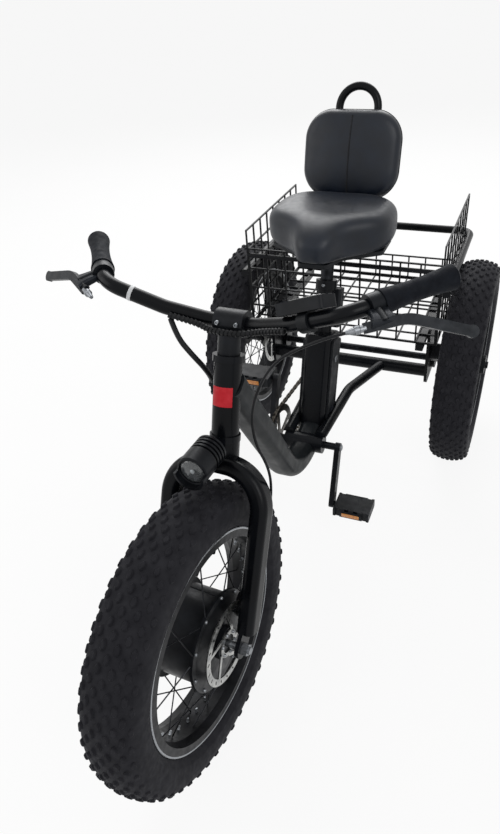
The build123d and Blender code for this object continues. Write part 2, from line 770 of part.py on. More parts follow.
with BuildPart() as pan:
    with BuildSketch(Plane(origin=(0, 0, SADDLE_BOTTOM))) as pan_plan:
        add(saddle_plan.sketch)
        offset(amount=-PAN_INSET)
    extrude(amount=-PAN_THICK)
write(pan.part, "saddle_pan")

pan_bottom = SADDLE_BOTTOM - PAN_THICK
with BuildPart() as post:
    with BuildSketch(mast_plane.offset(MAST_LENGTH + SEAT_TUBE_LENGTH)):
        Circle(POST_RADIUS)
    extrude(amount=SADDLE_BOTTOM)
    split(bisect_by=Plane.XY.offset(pan_bottom), keep=Keep.BOTTOM)
write(post.part, "seat_post")

with BuildPart() as controller:
    tube_middle = mast_plane.from_local_coords(
        Vector(0, SEAT_TUBE_RADIUS + SEAT + CONTROLLER[1] / 2, MAST_LENGTH + CONTROLLER_UP)
    )
    with BuildSketch(Plane(origin=tube_middle, x_dir=(1, 0, 0), z_dir=mast_plane.z_dir)):
        RectangleRounded(CONTROLLER[0], CONTROLLER[1], CONTROLLER_CORNER)
    extrude(amount=CONTROLLER[2] / 2, both=True)
write(controller.part, "controller_box")

# Backrest pad, and the hoop that carries it from under the saddle
back_plane = Plane(
    origin=spot(0, *BACK_PLACE),
    x_dir=(1, 0, 0),
    z_dir=(0, -cos(radians(BACK_LEAN)), sin(radians(BACK_LEAN))),
)
with BuildPart() as backrest:
    with BuildSketch(back_plane.offset(-BACK_THICK / 2)):
        RectangleRounded(BACK_WIDE, BACK_TALL, BACK_CORNER)
    extrude(amount=BACK_THICK)
    fillet(backrest.faces().filter_by(back_plane).edges(), BACK_ROUND)
write(backrest.part, "backrest_pad")

with BuildPart() as hoop:
    behind = -(BACK_THICK / 2 + HOOP_RADIUS + SEAT)
    under = pan_bottom - SEAT - HOOP_RADIUS
    lean_up = cos(radians(BACK_LEAN))
    lean_back = sin(radians(BACK_LEAN))
    leg_low = (under - BACK_PLACE[1] - behind * lean_back) / lean_up
    leg_top = (HOOP_TOP - HOOP_RADIUS - BACK_PLACE[1] - behind * lean_back) / lean_up
    legs = []
    for side in (1, -1):
        x = side * HOOP_HALF
        legs.append(
            [
                spot(x, BACK_PLACE[0] - HOOP_REACH, under),
                back_plane.from_local_coords(Vector(x, leg_low, behind)),
                back_plane.from_local_coords(Vector(x, leg_top, behind)),
            ]
        )
    sweep_along(
        legs[0] + legs[1][::-1],
        [HOOP_KNEE, HOOP_HALF - SEAT, HOOP_HALF - SEAT, HOOP_KNEE],
        lambda: Circle(HOOP_RADIUS),
    )
write(hoop.part, "backrest_hoop")

# Fork: boxed blades bent over the wheel, a crown and the steerer
blade_top = [(side * FORK_SPREAD, *BLADE_SHOULDER) for side in (1, -1)]
with BuildPart() as fork:
    sweep_along(
        [
            steer(FORK_SPREAD, *BLADE_FOOT),
            steer(*blade_top[0]),
            steer(*blade_top[1]),
            steer(-FORK_SPREAD, *BLADE_FOOT),
        ],
        FORK_BEND,
        lambda: RectangleRounded(BLADE_WIDE, BLADE_DEEP, BLADE_CORNER),
        steer_plane.x_dir,
    )
    with BuildSketch(steer_plane.offset(BLADE_SHOULDER[1])):
        Circle(CROWN_RADIUS)
    extrude(amount=HEAD_BOTTOM - SEAT - BLADE_SHOULDER[1])
    with BuildSketch(steer_plane.offset(BLADE_SHOULDER[1])):
        Circle(STEERER_RADIUS)
    extrude(amount=STEERER_TOP - BLADE_SHOULDER[1])
    rise = BLADE_FOOT[1] - HUB_ALONG + DROPOUT_WIDE / 2
    trail = BLADE_FOOT[0] - HUB_BACK
    for side in (1, -1):
        foot = front_axle.from_local_coords(Vector(0, 0, side * FORK_SPREAD))
        with BuildSketch(Plane(origin=foot, x_dir=steer_plane.z_dir, z_dir=steer_plane.x_dir)):
            with Locations((rise / 2, -trail / 2)):
                SlotCenterToCenter(
                    hypot(rise, trail), DROPOUT_WIDE, rotation=-degrees(atan2(trail, rise))
                )
            Circle(FRONT_AXLE_RADIUS + RUNNING, mode=Mode.SUBTRACT)
        extrude(amount=DROPOUT / 2, both=True)
write(fork.part, "fork")

# Stem: a sleeve on the steerer with a clamp round the bar
bar_middle = Plane(origin=steer(0, *BAR_PLACE[1:]), x_dir=steer_plane.z_dir, z_dir=steer_plane.x_dir)
with BuildPart() as stem:
    with BuildSketch(steer_plane.offset(HEAD_TOP + SEAT)):
        Circle(STEM_RADIUS)
    extrude(amount=STEM_TOP - HEAD_TOP - SEAT)
    with BuildSketch(bar_middle):
        Circle(BAR_CLAMP_RADIUS)
    extrude(amount=BAR_CLAMP_LENGTH / 2, both=True)
    with BuildSketch(bar_middle):
        Circle(BAR_RADIUS + RUNNING)
    extrude(amount=BAR_CLAMP_LENGTH, both=True, mode=Mode.SUBTRACT)
    with BuildSketch(steer_plane.offset(HEAD_TOP)):
        Circle(STEERER_RADIUS + RUNNING)
    extrude(amount=STEM_TOP - HEAD_TOP, mode=Mode.SUBTRACT)
write(stem.part, "stem")

# Swept handlebar, the same each side of the clamp
bar_half = [BAR_PLACE, BAR_KNEE, BAR_ELBOW, BAR_END]
with BuildPart() as bar:
    sweep_along(
        [steer(-x, back, along) for x, back, along in reversed(bar_half)]
        + [steer(x, back, along) for x, back, along in bar_half],
        list(reversed(BAR_BENDS)) + list(BAR_BENDS),
        lambda: Circle(BAR_RADIUS),
        steer_plane.z_dir,
    )
write(bar.part, "handlebar")


def bar_plane(side, from_end):
    """The bar's section at a distance from its end, z towards the middle of the machine."""
    end = steer(side * BAR_END[0], *BAR_END[1:])
    elbow = steer(side * BAR_ELBOW[0], *BAR_ELBOW[1:])
    inward = (elbow - end).normalized()
    return Plane(origin=end + inward * from_end, x_dir=steer_plane.y_dir, z_dir=inward)


# Long grips that flare at both ends and close over the bar
with BuildPart() as grips:
    for side in (1, -1):
        place = bar_plane(side, 0)
        with BuildSketch(Plane(origin=place.origin, x_dir=place.z_dir, z_dir=place.x_dir)):
            with BuildLine():
                tail = Polyline(
                    (GRIP_LENGTH, GRIP_FLARE),
                    (GRIP_LENGTH, BAR_RADIUS + SEAT),
                    (-SEAT, BAR_RADIUS + SEAT),
                    (-SEAT, 0),
                    (-GRIP_CAP, 0),
                    (-GRIP_CAP, GRIP_FLARE - GRIP_CAP),
                    (0, GRIP_FLARE),
                )
                ThreePointArc(tail @ 1, (GRIP_LENGTH / 2, GRIP_RADIUS), tail @ 0)
            make_face()
        revolve(axis=Axis(place.origin, place.z_dir))
write(grips.part, "grips")

# Brake levers: a clamp on the bar, a perch down from it and a long blade with a ball end
with BuildPart() as levers:
    for side in (1, -1):
        clamp_plane = bar_plane(side, GRIP_LENGTH + SEAT)
        with BuildSketch(clamp_plane):
            Circle(LEVER_CLAMP_RADIUS)
        extrude(amount=LEVER_CLAMP)
        blade_route = [steer(side * x, back, along) for x, back, along in LEVER_ROUTE]
        perch_top = clamp_plane.origin + clamp_plane.z_dir * (LEVER_CLAMP / 2)
        rod(perch_top, (blade_route[0] + blade_route[1]) * 0.5, LEVER_PERCH)
        blade_run = blade_route[2] - blade_route[1]
        blade_plane = Plane(
            origin=blade_route[1],
            x_dir=blade_run,
            z_dir=blade_run.cross(blade_route[0] - blade_route[1]),
        )
        with BuildSketch(blade_plane):
            with BuildLine():
                FilletPolyline(
                    *[blade_plane.to_local_coords(place) for place in blade_route],
                    radius=LEVER_BEND,
                )
            trace(line_width=LEVER_WIDE)
            with Locations((blade_run.length, 0)):
                Circle(LEVER_BALL)
        extrude(amount=LEVER_THICK / 2, both=True)
        with BuildSketch(clamp_plane):
            Circle(BAR_RADIUS + RUNNING)
        extrude(amount=2 * LEVER_CLAMP, both=True, mode=Mode.SUBTRACT)
write(levers.part, "brake_levers")

# Display beside the stem, on a ring round the bar
knee = steer(*BAR_KNEE)
bar_run = steer(*BAR_ELBOW) - knee
run_dir = bar_run.normalized()
display_plane = Plane(
    origin=knee + bar_run * DISPLAY_ALONG,
    x_dir=run_dir,
    z_dir=steer_plane.z_dir - run_dir * steer_plane.z_dir.dot(run_dir),
)
ring_plane = Plane(origin=display_plane.origin, z_dir=run_dir)
with BuildPart() as display:
    with BuildSketch(ring_plane):
        Circle(BAR_RADIUS + DISPLAY_WALL)
    extrude(amount=DISPLAY_FOOT, both=True)
    with BuildSketch(display_plane.offset(BAR_RADIUS + DISPLAY_WALL / 2)):
        RectangleRounded(DISPLAY[0], DISPLAY[1], DISPLAY_CORNER)
    extrude(amount=DISPLAY[2])
    with BuildSketch(ring_plane):
        Circle(BAR_RADIUS + RUNNING)
    extrude(amount=DISPLAY[0], both=True, mode=Mode.SUBTRACT)
write(display.part, "display")

# Ribbed headlight on a bracket from the crown, with a hood over its lens
level_forward = -steer_plane.y_dir * cos(radians(HEAD_LEAN)) - steer_plane.z_dir * sin(radians(HEAD_LEAN))
lamp_plane = Plane(
    origin=steer(0, -LAMP_FORWARD, LAMP_ALONG), x_dir=steer_plane.x_dir, z_dir=level_forward
)
with BuildPart() as lamp:
    rib_pitch = LAMP_LENGTH / 2 / LAMP_RIBS
    with BuildSketch(lamp_plane.offset(-LAMP_LENGTH / 2)):
        Circle(LAMP_RADIUS - LAMP_RIB)
    extrude(amount=LAMP_LENGTH)
    for number in range(LAMP_RIBS):
        with BuildSketch(lamp_plane.offset(-LAMP_LENGTH / 2 + number * rib_pitch)):
            Circle(LAMP_RADIUS)
        extrude(amount=rib_pitch / 2)
    with BuildSketch(lamp_plane):
        Circle(LAMP_RADIUS)
    extrude(amount=LAMP_LENGTH / 2)
    with BuildSketch(lamp_plane.offset(LAMP_LENGTH / 2)):
        Circle(LAMP_RADIUS)
        Circle(LENS_RADIUS + LAMP_RIB / 2, mode=Mode.SUBTRACT)
        with Locations((0, LAMP_RADIUS)):
            Rectangle(2 * LAMP_RADIUS, 2 * LAMP_RADIUS, mode=Mode.SUBTRACT)
    extrude(amount=LAMP_HOOD)
    with BuildSketch(lamp_plane.offset(LAMP_LENGTH / 2)):
        Circle(LENS_RADIUS + RUNNING)
    extrude(amount=-LENS_THICK, mode=Mode.SUBTRACT)
    arch_front = BLADE_SHOULDER[0] - BLADE_DEEP / 2 - SEAT
    rod(steer(0, arch_front, LAMP_FOOT), steer(0, -LAMP_FORWARD, LAMP_FOOT), LAMP_ARM)
write(lamp.part, "headlight")

with BuildPart() as lens:
    with BuildSketch(lamp_plane.offset(LAMP_LENGTH / 2)):
        Circle(LENS_RADIUS)
    extrude(amount=-LENS_THICK + RUNNING)
write(lens.part, "headlight_lens")


def caliper(disc_plane, toward, reach, inner, outer):
    """A brake caliper that straddles the disc's edge, in the direction toward from the axle."""
    block = Plane(origin=disc_plane.origin + toward * reach, x_dir=toward, z_dir=disc_plane.z_dir)
    with BuildSketch(block.offset(-inner)) as body:
        RectangleRounded(CALIPER_DEEP, CALIPER_LONG, CALIPER_CORNER)
    extrude(body.sketch, amount=inner + ROTOR_THICK + outer)
    with BuildSketch(disc_plane.offset(-CALIPER_AIR)) as slot:
        Circle(ROTOR_RADIUS + CALIPER_AIR)
    extrude(slot.sketch, amount=ROTOR_THICK + 2 * CALIPER_AIR, mode=Mode.SUBTRACT)


front_disc = front_axle.offset(MOTOR_END_WIDTH / 2 + SEAT)
with BuildPart() as front_caliper:
    toward = (steer_plane.y_dir * CALIPER_AIM[0] + steer_plane.z_dir * CALIPER_AIM[1]).normalized()
    blade_face = FORK_SPREAD - BLADE_WIDE / 2 - SEAT
    caliper(
        front_disc,
        toward,
        ROTOR_RADIUS - CALIPER_DEEP / 6,
        CALIPER_SHOE,
        blade_face - MOTOR_END_WIDTH / 2 - SEAT - ROTOR_THICK,
    )
write(front_caliper.part, "front_caliper")

with BuildPart() as rear_calipers:
    for wheel in ("left", "right"):
        disc = WHEELS[wheel].offset(HUB_LENGTH / 2 + SEAT)
        plate_face = PLATE_X + PLATE_THICK / 2
        disc_back = TRACK / 2 - HUB_LENGTH / 2 - SEAT - ROTOR_THICK
        caliper(
            disc,
            Vector(0, -CALIPER_AIM[0], CALIPER_AIM[1]).normalized(),
            ROTOR_RADIUS - CALIPER_DEEP / 6,
            CALIPER_SHOE,
            disc_back - plate_face,
        )
write(rear_calipers.part, "rear_calipers")

# Cranks: the left arm down, the right arm up, on one spindle with the pedal axles
down = Vector(0, -sin(radians(CRANK_ANGLE)), -cos(radians(CRANK_ANGLE)))
with BuildPart() as cranks:
    with BuildSketch(Plane(origin=bb_centre, z_dir=(1, 0, 0))):
        Circle(SPINDLE_RADIUS)
    extrude(amount=ARM_X, both=True)
    for side in (1, -1):
        arm_mid = bb_centre + down * (side * CRANK / 2) + Vector(side * ARM_X, 0, 0)
        with BuildSketch(Plane(origin=arm_mid, x_dir=down, z_dir=(1, 0, 0))):
            SlotCenterToCenter(CRANK, ARM_WIDE)
        extrude(amount=ARM_THICK / 2, both=True)
        pedal_foot = bb_centre + down * (side * CRANK) + Vector(side * ARM_X, 0, 0)
        pedal_tip = pedal_foot + Vector(side * (ARM_THICK / 2 + PEDAL_GAP + PEDAL_LONG), 0, 0)
        rod(pedal_foot, pedal_tip, PEDAL_AXLE_RADIUS)
write(cranks.part, "cranks")

for side, hand in ((1, "left"), (-1, "right")):
    with BuildPart() as pedal:
        centre = bb_centre + down * (side * CRANK)
        start = centre + Vector(side * (ARM_X + ARM_THICK / 2 + PEDAL_GAP), 0, 0)
        with BuildSketch(Plane(origin=start, x_dir=(0, 1, 0), z_dir=(side, 0, 0))):
            RectangleRounded(PEDAL_DEEP, PEDAL_THICK, PEDAL_CORNER)
            Circle(PEDAL_AXLE_RADIUS + RUNNING, mode=Mode.SUBTRACT)
        extrude(amount=PEDAL_LONG)
        notch = PEDAL_LONG / (2 * PEDAL_TEETH)
        for edge in (-1, 1):
            first = start + Vector(side * notch / 2, edge * PEDAL_DEEP / 2, 0)
            with BuildSketch(Plane(origin=first, x_dir=(side, 0, 0), z_dir=(0, 0, 1))):
                for number in range(PEDAL_TEETH):
                    with Locations((notch * (2 * number + 0.5), 0)):
                        Rectangle(notch, PEDAL_NOTCH * 2)
            extrude(amount=PEDAL_THICK, both=True, mode=Mode.SUBTRACT)
    write(pedal.part, f"{hand}_pedal")

chain_line = Vector(CHAIN_X, 0, 0)
with BuildPart() as chainring:
    with BuildSketch(Plane(origin=bb_centre + chain_line, z_dir=(1, 0, 0))):
        Circle(chain_radius[CHAINRING_TEETH] + TOOTH_WIDE / 2)
        Circle(chain_radius[CHAINRING_TEETH] - CHAINRING_BAND, mode=Mode.SUBTRACT)
        with PolarLocations(chain_radius[CHAINRING_TEETH] / 2, SPIDER_ARMS):
            Rectangle(chain_radius[CHAINRING_TEETH] - CHAINRING_BAND / 2, SPIDER_WIDE)
        Circle(SPIDER_BOSS)
        Circle(SPINDLE_RADIUS + RUNNING, mode=Mode.SUBTRACT)
    extrude(amount=TOOTH_WIDE / 2, both=True)
write(chainring.part, "chainring")


def chain_loop(grow):
    """The outline round both sprockets, grown from the pitch line."""
    for back, height, teeth in (
        (*BB_PLACE, CHAINRING_TEETH),
        (WHEELBASE, TYRE_RADIUS, SPROCKET_TEETH),
    ):
        with Locations((FRONT_Y + back, height)):
            Circle(chain_radius[teeth] + grow)
    make_hull()


# Chain: side plates and an outer web, open inwards where the teeth run
chain_plane = Plane(origin=chain_line, x_dir=(0, 1, 0), z_dir=(1, 0, 0))
with BuildPart() as chain:
    with BuildSketch(chain_plane):
        chain_loop(CHAIN_HIGH / 2)
    extrude(amount=CHAIN_WIDE / 2, both=True)
    with BuildSketch(chain_plane):
        chain_loop(-CHAIN_HIGH / 2)
    extrude(amount=CHAIN_WIDE, both=True, mode=Mode.SUBTRACT)
    with BuildSketch(chain_plane):
        chain_loop(TOOTH_WIDE / 2 + CHAIN_AIR)
    extrude(amount=TOOTH_WIDE / 2 + CHAIN_AIR, both=True, mode=Mode.SUBTRACT)
write(chain.part, "chain")


def cord(points, radius):
    """A held cable: straight runs joined by arcs as large as the runs allow."""
    bends = []
    for before, corner, after in zip(points, points[1:], points[2:]):
        run_in = corner - before
        run_out = after - corner
        half_turn = radians(run_in.get_angle(run_out)) / 2
        bends.append(0.45 * min(run_in.length, run_out.length) / (sin(half_turn) / cos(half_turn)))
    print("cord bends", [round(bend) for bend in bends])
    sweep_along(points, bends, lambda: Circle(radius), None)


# Front brake cable, from the left lever along the bar and down the left blade
with BuildPart() as brake_cable:
    cord([steer(*place) for place in BRAKE_CABLE], CABLE_RADIUS)
write(brake_cable.part, "front_brake_cable")

# Control cables, looped from the bar round the head tube to the main tube
with BuildPart() as control_cables:
    loom = [steer(*place) for place in LOOM_START] + [spot(*place) for place in LOOM_END]
    cord(loom, LOOM_RADIUS)
write(control_cables.part, "control_cables")
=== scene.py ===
"""Looks of a fat-tyre electric tricycle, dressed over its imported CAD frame.

Forward is -Y, the rider's left is +X and up is +Z. Lengths are metres, and the sizes that come from
the drawing are written in millimetres and turned with MM.
"""
import json
import math
import random

import bmesh
import bpy
from bpy.props import FloatProperty, IntProperty, PointerProperty, StringProperty
from mathutils import Matrix, Vector


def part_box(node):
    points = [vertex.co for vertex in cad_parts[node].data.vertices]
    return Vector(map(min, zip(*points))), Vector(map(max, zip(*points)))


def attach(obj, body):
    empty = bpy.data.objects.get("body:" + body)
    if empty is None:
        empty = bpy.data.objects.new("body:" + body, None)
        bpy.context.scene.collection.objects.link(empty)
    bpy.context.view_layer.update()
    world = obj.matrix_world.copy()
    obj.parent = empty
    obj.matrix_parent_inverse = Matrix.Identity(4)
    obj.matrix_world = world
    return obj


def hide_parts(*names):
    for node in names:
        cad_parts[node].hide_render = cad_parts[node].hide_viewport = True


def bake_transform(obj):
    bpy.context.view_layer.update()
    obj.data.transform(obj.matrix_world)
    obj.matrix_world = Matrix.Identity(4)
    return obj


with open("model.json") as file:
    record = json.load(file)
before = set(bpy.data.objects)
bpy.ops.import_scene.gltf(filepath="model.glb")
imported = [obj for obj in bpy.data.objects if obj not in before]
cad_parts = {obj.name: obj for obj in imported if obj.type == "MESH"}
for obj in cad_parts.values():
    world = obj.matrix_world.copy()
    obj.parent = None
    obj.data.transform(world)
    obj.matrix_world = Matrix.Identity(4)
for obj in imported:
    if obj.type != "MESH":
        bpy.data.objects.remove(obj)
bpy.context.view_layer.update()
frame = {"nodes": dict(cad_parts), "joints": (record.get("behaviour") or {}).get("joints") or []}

bl_info = {
    "name": "Fat-tyre electric tricycle",
    "version": (1, 0, 0),
    "blender": (4, 5, 0),
    "location": "View3D > Sidebar > Tricycle",
    "description": "Dresses the tricycle's frame with tyres, seat, cables, fasteners and finishes",
    "category": "Object",
}

MM = 0.001
X_AXIS = Vector((1, 0, 0))
FRONT_Y = -0.5525
joints = {joint["name"]: joint for joint in frame["joints"]}
WHEELS = {
    "front": ("front_wheel", joints["front_wheel_spin"]),
    "left": ("left_wheel", joints["left_wheel_spin"]),
    "right": ("right_wheel", joints["right_wheel_spin"]),
}


# Places


def spot(x, back, height):
    """A place in millimetres: x to the left, back behind the front axle, height above the ground."""
    return Vector((x * MM, FRONT_Y + back * MM, height * MM))


STEER_LEAN = math.radians(19.5)
STEER_REST = math.radians(-4.0)
steer_up = Vector((0.0, math.sin(STEER_LEAN), math.cos(STEER_LEAN)))
straight_back = Vector((0.0, math.cos(STEER_LEAN), -math.sin(STEER_LEAN)))
steer_across = math.cos(STEER_REST) * X_AXIS + math.sin(STEER_REST) * straight_back
steer_back = steer_up.cross(steer_across)
steer_foot = spot(0, 81, 292.5)


def steer(x, back, along):
    """A place on the turned front end: out to the left, behind the steering axis and along it."""
    return steer_foot + (steer_across * x + steer_back * back + steer_up * along) * MM


def aimed(origin, along, near="Z"):
    """A placing matrix whose x axis points along a direction."""
    return Matrix.Translation(origin) @ Vector(along).to_track_quat("X", near).to_matrix().to_4x4()


# Sizes and colours a user would change


class TricycleSizes(bpy.types.PropertyGroup):
    """Sizes of the pieces that are dressed on the frame."""

    knob_pitches: IntProperty(
        name="Knobs around", description="Tread knobs in each row of a tyre", default=50, min=12
    )
    knob_height: FloatProperty(
        name="Knob height", description="How far a tread knob stands out", default=0.0038,
        unit="LENGTH", subtype="DISTANCE", precision=4,
    )
    saddle_dish: FloatProperty(
        name="Saddle dish", description="Depth of the hollow in the saddle's seat", default=0.014,
        unit="LENGTH", subtype="DISTANCE", precision=4,
    )
    pad_crown: FloatProperty(
        name="Backrest crown", description="Rise of the backrest's middle", default=0.012,
        unit="LENGTH", subtype="DISTANCE", precision=4,
    )
    piping: FloatProperty(
        name="Piping", description="Radius of the seat's sewn piping", default=0.0019,
        unit="LENGTH", subtype="DISTANCE", precision=4,
    )


class TricycleColours(bpy.types.PropertyGroup):
    """Colours of the main finishes, as sRGB hex values."""

    paint: StringProperty(name="Frame paint", description="Powder coat of the frame", default="#07080B")
    graphite: StringProperty(name="Main tube", description="Enamel of the main tube", default="#121517")
    rubber: StringProperty(name="Tyre", description="Carbon black rubber of the tyres", default="#232327")
    leather: StringProperty(name="Seat", description="Cover of saddle and backrest", default="#080E18")
    accent: StringProperty(name="Accent", description="Enamel of the red bars", default="#C4202B")
    reflector: StringProperty(name="Reflector", description="Pedal reflectors", default="#C9762A")


# Materials


def linear(hex_colour):
    """An sRGB hex value as linear RGBA."""
    values = [int(hex_colour[i : i + 2], 16) / 255 for i in (1, 3, 5)]
    turned_values = [v / 12.92 if v <= 0.04045 else ((v + 0.055) / 1.055) ** 2.4 for v in values]
    return (*turned_values, 1.0)


def add_node(tree, kind, sockets=None, **settings):
    """Add a node with its settings; a socket takes a value or another node's output."""
    node = tree.nodes.new(kind)
    for name, value in settings.items():
        setattr(node, name, value)
    for name, value in (sockets or {}).items():
        if isinstance(value, bpy.types.NodeSocket):
            tree.links.new(value, node.inputs[name])
        else:
            node.inputs[name].default_value = value
    return node


def per_metre(size_mm):
    """Texture scale for a feature of a real size in millimetres."""
    return 1000.0 / size_mm


class Finish:
    """A material as it is mixed, over the place on the piece in metres."""

    def __init__(self, name, **sockets):
        self.material = bpy.data.materials.new(name)
        self.material.use_nodes = True
        self.tree = self.material.node_tree
        self.tree.nodes.clear()
        plain = {key.replace("_", " "): value for key, value in sockets.items()}
        self.shader = add_node(self.tree, "ShaderNodeBsdfPrincipled", plain)
        surface = {"Surface": self.shader.outputs["BSDF"]}
        self.output = add_node(self.tree, "ShaderNodeOutputMaterial", surface)
        self.place = add_node(self.tree, "ShaderNodeTexCoord").outputs["Object"]

    def feed(self, socket, value):
        """Link a pattern to a socket of the shader."""
        self.tree.links.new(value, self.shader.inputs[socket])

    def lumps(self, size_mm, detail=2.0):
        """Pattern of soft lumps of a size."""
        sockets = {"Vector": self.place, "Scale": per_metre(size_mm), "Detail": detail}
        return add_node(self.tree, "ShaderNodeTexNoise", sockets).outputs["Fac"]

    def cells(self, size_mm, feature):
        """Pattern of cells of a size."""
        sockets = {"Vector": self.place, "Scale": per_metre(size_mm)}
        return add_node(self.tree, "ShaderNodeTexVoronoi", sockets, feature=feature).outputs["Distance"]

    def spread(self, value, low, high, to_low, to_high):
        """A pattern turned from one range to another."""
        sockets = {"Value": value, "From Min": low, "From Max": high, "To Min": to_low, "To Max": to_high}
        return add_node(self.tree, "ShaderNodeMapRange", sockets).outputs["Result"]

    def mottle(self, size_mm, dark, light):
        """Colour that drifts between two hex values over patches of a size."""
        ramp = add_node(self.tree, "ShaderNodeValToRGB", {"Fac": self.lumps(size_mm, 3.0)})
        for stop, position, colour in zip(ramp.color_ramp.elements, (0.35, 0.68), (dark, light)):
            stop.position = position
            stop.color = linear(colour)
        return ramp.outputs["Color"]

    def mix(self, share, colour, other):
        """A colour mixed with a hex value by a share."""
        sockets = {"Factor": share, 6: colour, 7: linear(other)}
        return add_node(self.tree, "ShaderNodeMix", sockets, data_type="RGBA").outputs[2]

    def worn(self, colour, bare):
        """Colour with a lighter rub along the convex edges, where hands and boots pass."""
        edge = add_node(self.tree, "ShaderNodeNewGeometry").outputs["Pointiness"]
        return self.mix(self.spread(edge, 0.53, 0.62, 0.0, 0.25), colour, bare)

    def roughen(self, size_mm, low, high):
        """Gloss that varies between two roughness values over patches of a size."""
        self.feed("Roughness", self.spread(self.lumps(size_mm, 4.0), 0.3, 0.7, low, high))

    def grain(self, height, depth_mm, strength):
        """Bump of a real depth from a height pattern."""
        sockets = {"Height": height, "Distance": depth_mm * MM, "Strength": strength}
        self.feed("Normal", add_node(self.tree, "ShaderNodeBump", sockets).outputs["Normal"])


def gloss_powder_coat(name, colour, light, rough=(0.2, 0.34)):
    """Baked polyester powder: a deep black with the fine orange peel of the melt."""
    coat = Finish(name, IOR=1.5, Specular_IOR_Level=0.12)
    coat.feed("Base Color", coat.worn(coat.mottle(90.0, colour, light), "#1E2025"))
    coat.roughen(60.0, *rough)
    # orange peel is about 1.5 mm across and is drawn at 3 mm so that it shows
    coat.grain(coat.lumps(3.0), 0.12, 0.12)
    return coat.material


def satin_enamel(name, colour, light):
    """Sprayed satin enamel on the main tube: grey with a soft broad highlight."""
    coat = Finish(name, IOR=1.5, Specular_IOR_Level=0.12)
    coat.feed("Base Color", coat.worn(coat.mottle(60.0, colour, light), "#34373B"))
    coat.roughen(25.0, 0.36, 0.48)
    coat.grain(coat.lumps(2.5), 0.08, 0.12)
    return coat.material


def black_anodised_aluminium(name, colour="#101114", light="#191B1F"):
    """Cast and anodised aluminium: dark metal whose pores break the highlight."""
    metal = Finish(name, Metallic=0.3, Specular_IOR_Level=0.16)
    metal.feed("Base Color", metal.worn(metal.mottle(30.0, colour, light), "#26282C"))
    metal.roughen(12.0, 0.3, 0.46)
    metal.grain(metal.lumps(1.8, 4.0), 0.06, 0.2)
    return metal.material


def bare_metal(name, colour, light, rough):
    """Ground or plated metal: fine lines left by the wheel, with a light haze."""
    metal = Finish(name, Metallic=1.0)
    metal.feed("Base Color", metal.mottle(14.0, colour, light))
    metal.roughen(6.0, *rough)
    stretch = {"Vector": metal.place, "Scale": (1.0, 0.08, 1.0)}
    metal.place = add_node(metal.tree, "ShaderNodeMapping", stretch).outputs["Vector"]
    metal.grain(metal.lumps(1.2), 0.03, 0.25)
    return metal.material


def carbon_black_rubber(name, colour, light, dust):
    """Moulded tyre rubber: matt charcoal, pores of the mould and specks of road dust."""
    rubber = Finish(name, IOR=1.52, Specular_IOR_Level=0.08)
    specks = rubber.spread(rubber.lumps(5.0, 6.0), 0.55, 0.8, 0.0, 0.35)
    rubber.feed("Base Color", rubber.mix(specks, rubber.mottle(22.0, colour, light), dust))
    rubber.roughen(10.0, 0.6, 0.8)
    # mould pores are 0.3 mm across and are drawn at 1.6 mm
    rubber.grain(rubber.lumps(1.6, 5.0), 0.15, 0.4)
    return rubber.material


def black_leatherette(name, colour, light):
    """Embossed PVC leather over foam: pebbled grain with a soft sheen on the crowns."""
    hide = Finish(name, IOR=1.5, Specular_IOR_Level=0.34, Sheen_Weight=0.02, Sheen_Roughness=0.4)
    hide.feed("Base Color", hide.mottle(40.0, colour, light))
    hide.roughen(18.0, 0.36, 0.46)
    # pebbles of leatherette are 1 to 2 mm, drawn at 3 mm
    hide.grain(hide.cells(3.0, "SMOOTH_F1"), 0.25, 0.22)
    return hide.material


def moulded_plastic(name, colour, light, rough=(0.42, 0.56)):
    """Injection moulded ABS: spark-eroded texture and a dull even gloss."""
    plastic = Finish(name, IOR=1.53, Specular_IOR_Level=0.16)
    plastic.feed("Base Color", plastic.mottle(35.0, colour, light))
    plastic.roughen(15.0, *rough)
    plastic.grain(plastic.lumps(1.4, 3.0), 0.06, 0.25)
    return plastic.material


def clear_polycarbonate(name, colour):
    """Polished clear plastic of the lamp's lens and the display's window."""
    clear = Finish(name, Base_Color=linear(colour), IOR=1.585, Transmission_Weight=0.9)
    clear.roughen(20.0, 0.02, 0.06)
    return clear.material


def enamel(name, colour, light):
    """Flat printed enamel of the accent bars and rings."""
    coat = Finish(name, IOR=1.5, Specular_IOR_Level=0.2)
    coat.feed("Base Color", coat.mottle(12.0, colour, light))
    coat.roughen(9.0, 0.28, 0.4)
    return coat.material


def prism_acrylic(name, colour, light):
    """Moulded reflector: amber acrylic over a field of small prisms."""
    acrylic = Finish(name, IOR=1.49, Coat_Weight=0.6, Coat_Roughness=0.05)
    acrylic.feed("Base Color", acrylic.mottle(4.0, colour, light))
    acrylic.roughen(8.0, 0.15, 0.25)
    acrylic.grain(acrylic.cells(2.2, "F1"), 0.4, 0.6)
    return acrylic.material


finishes = {}


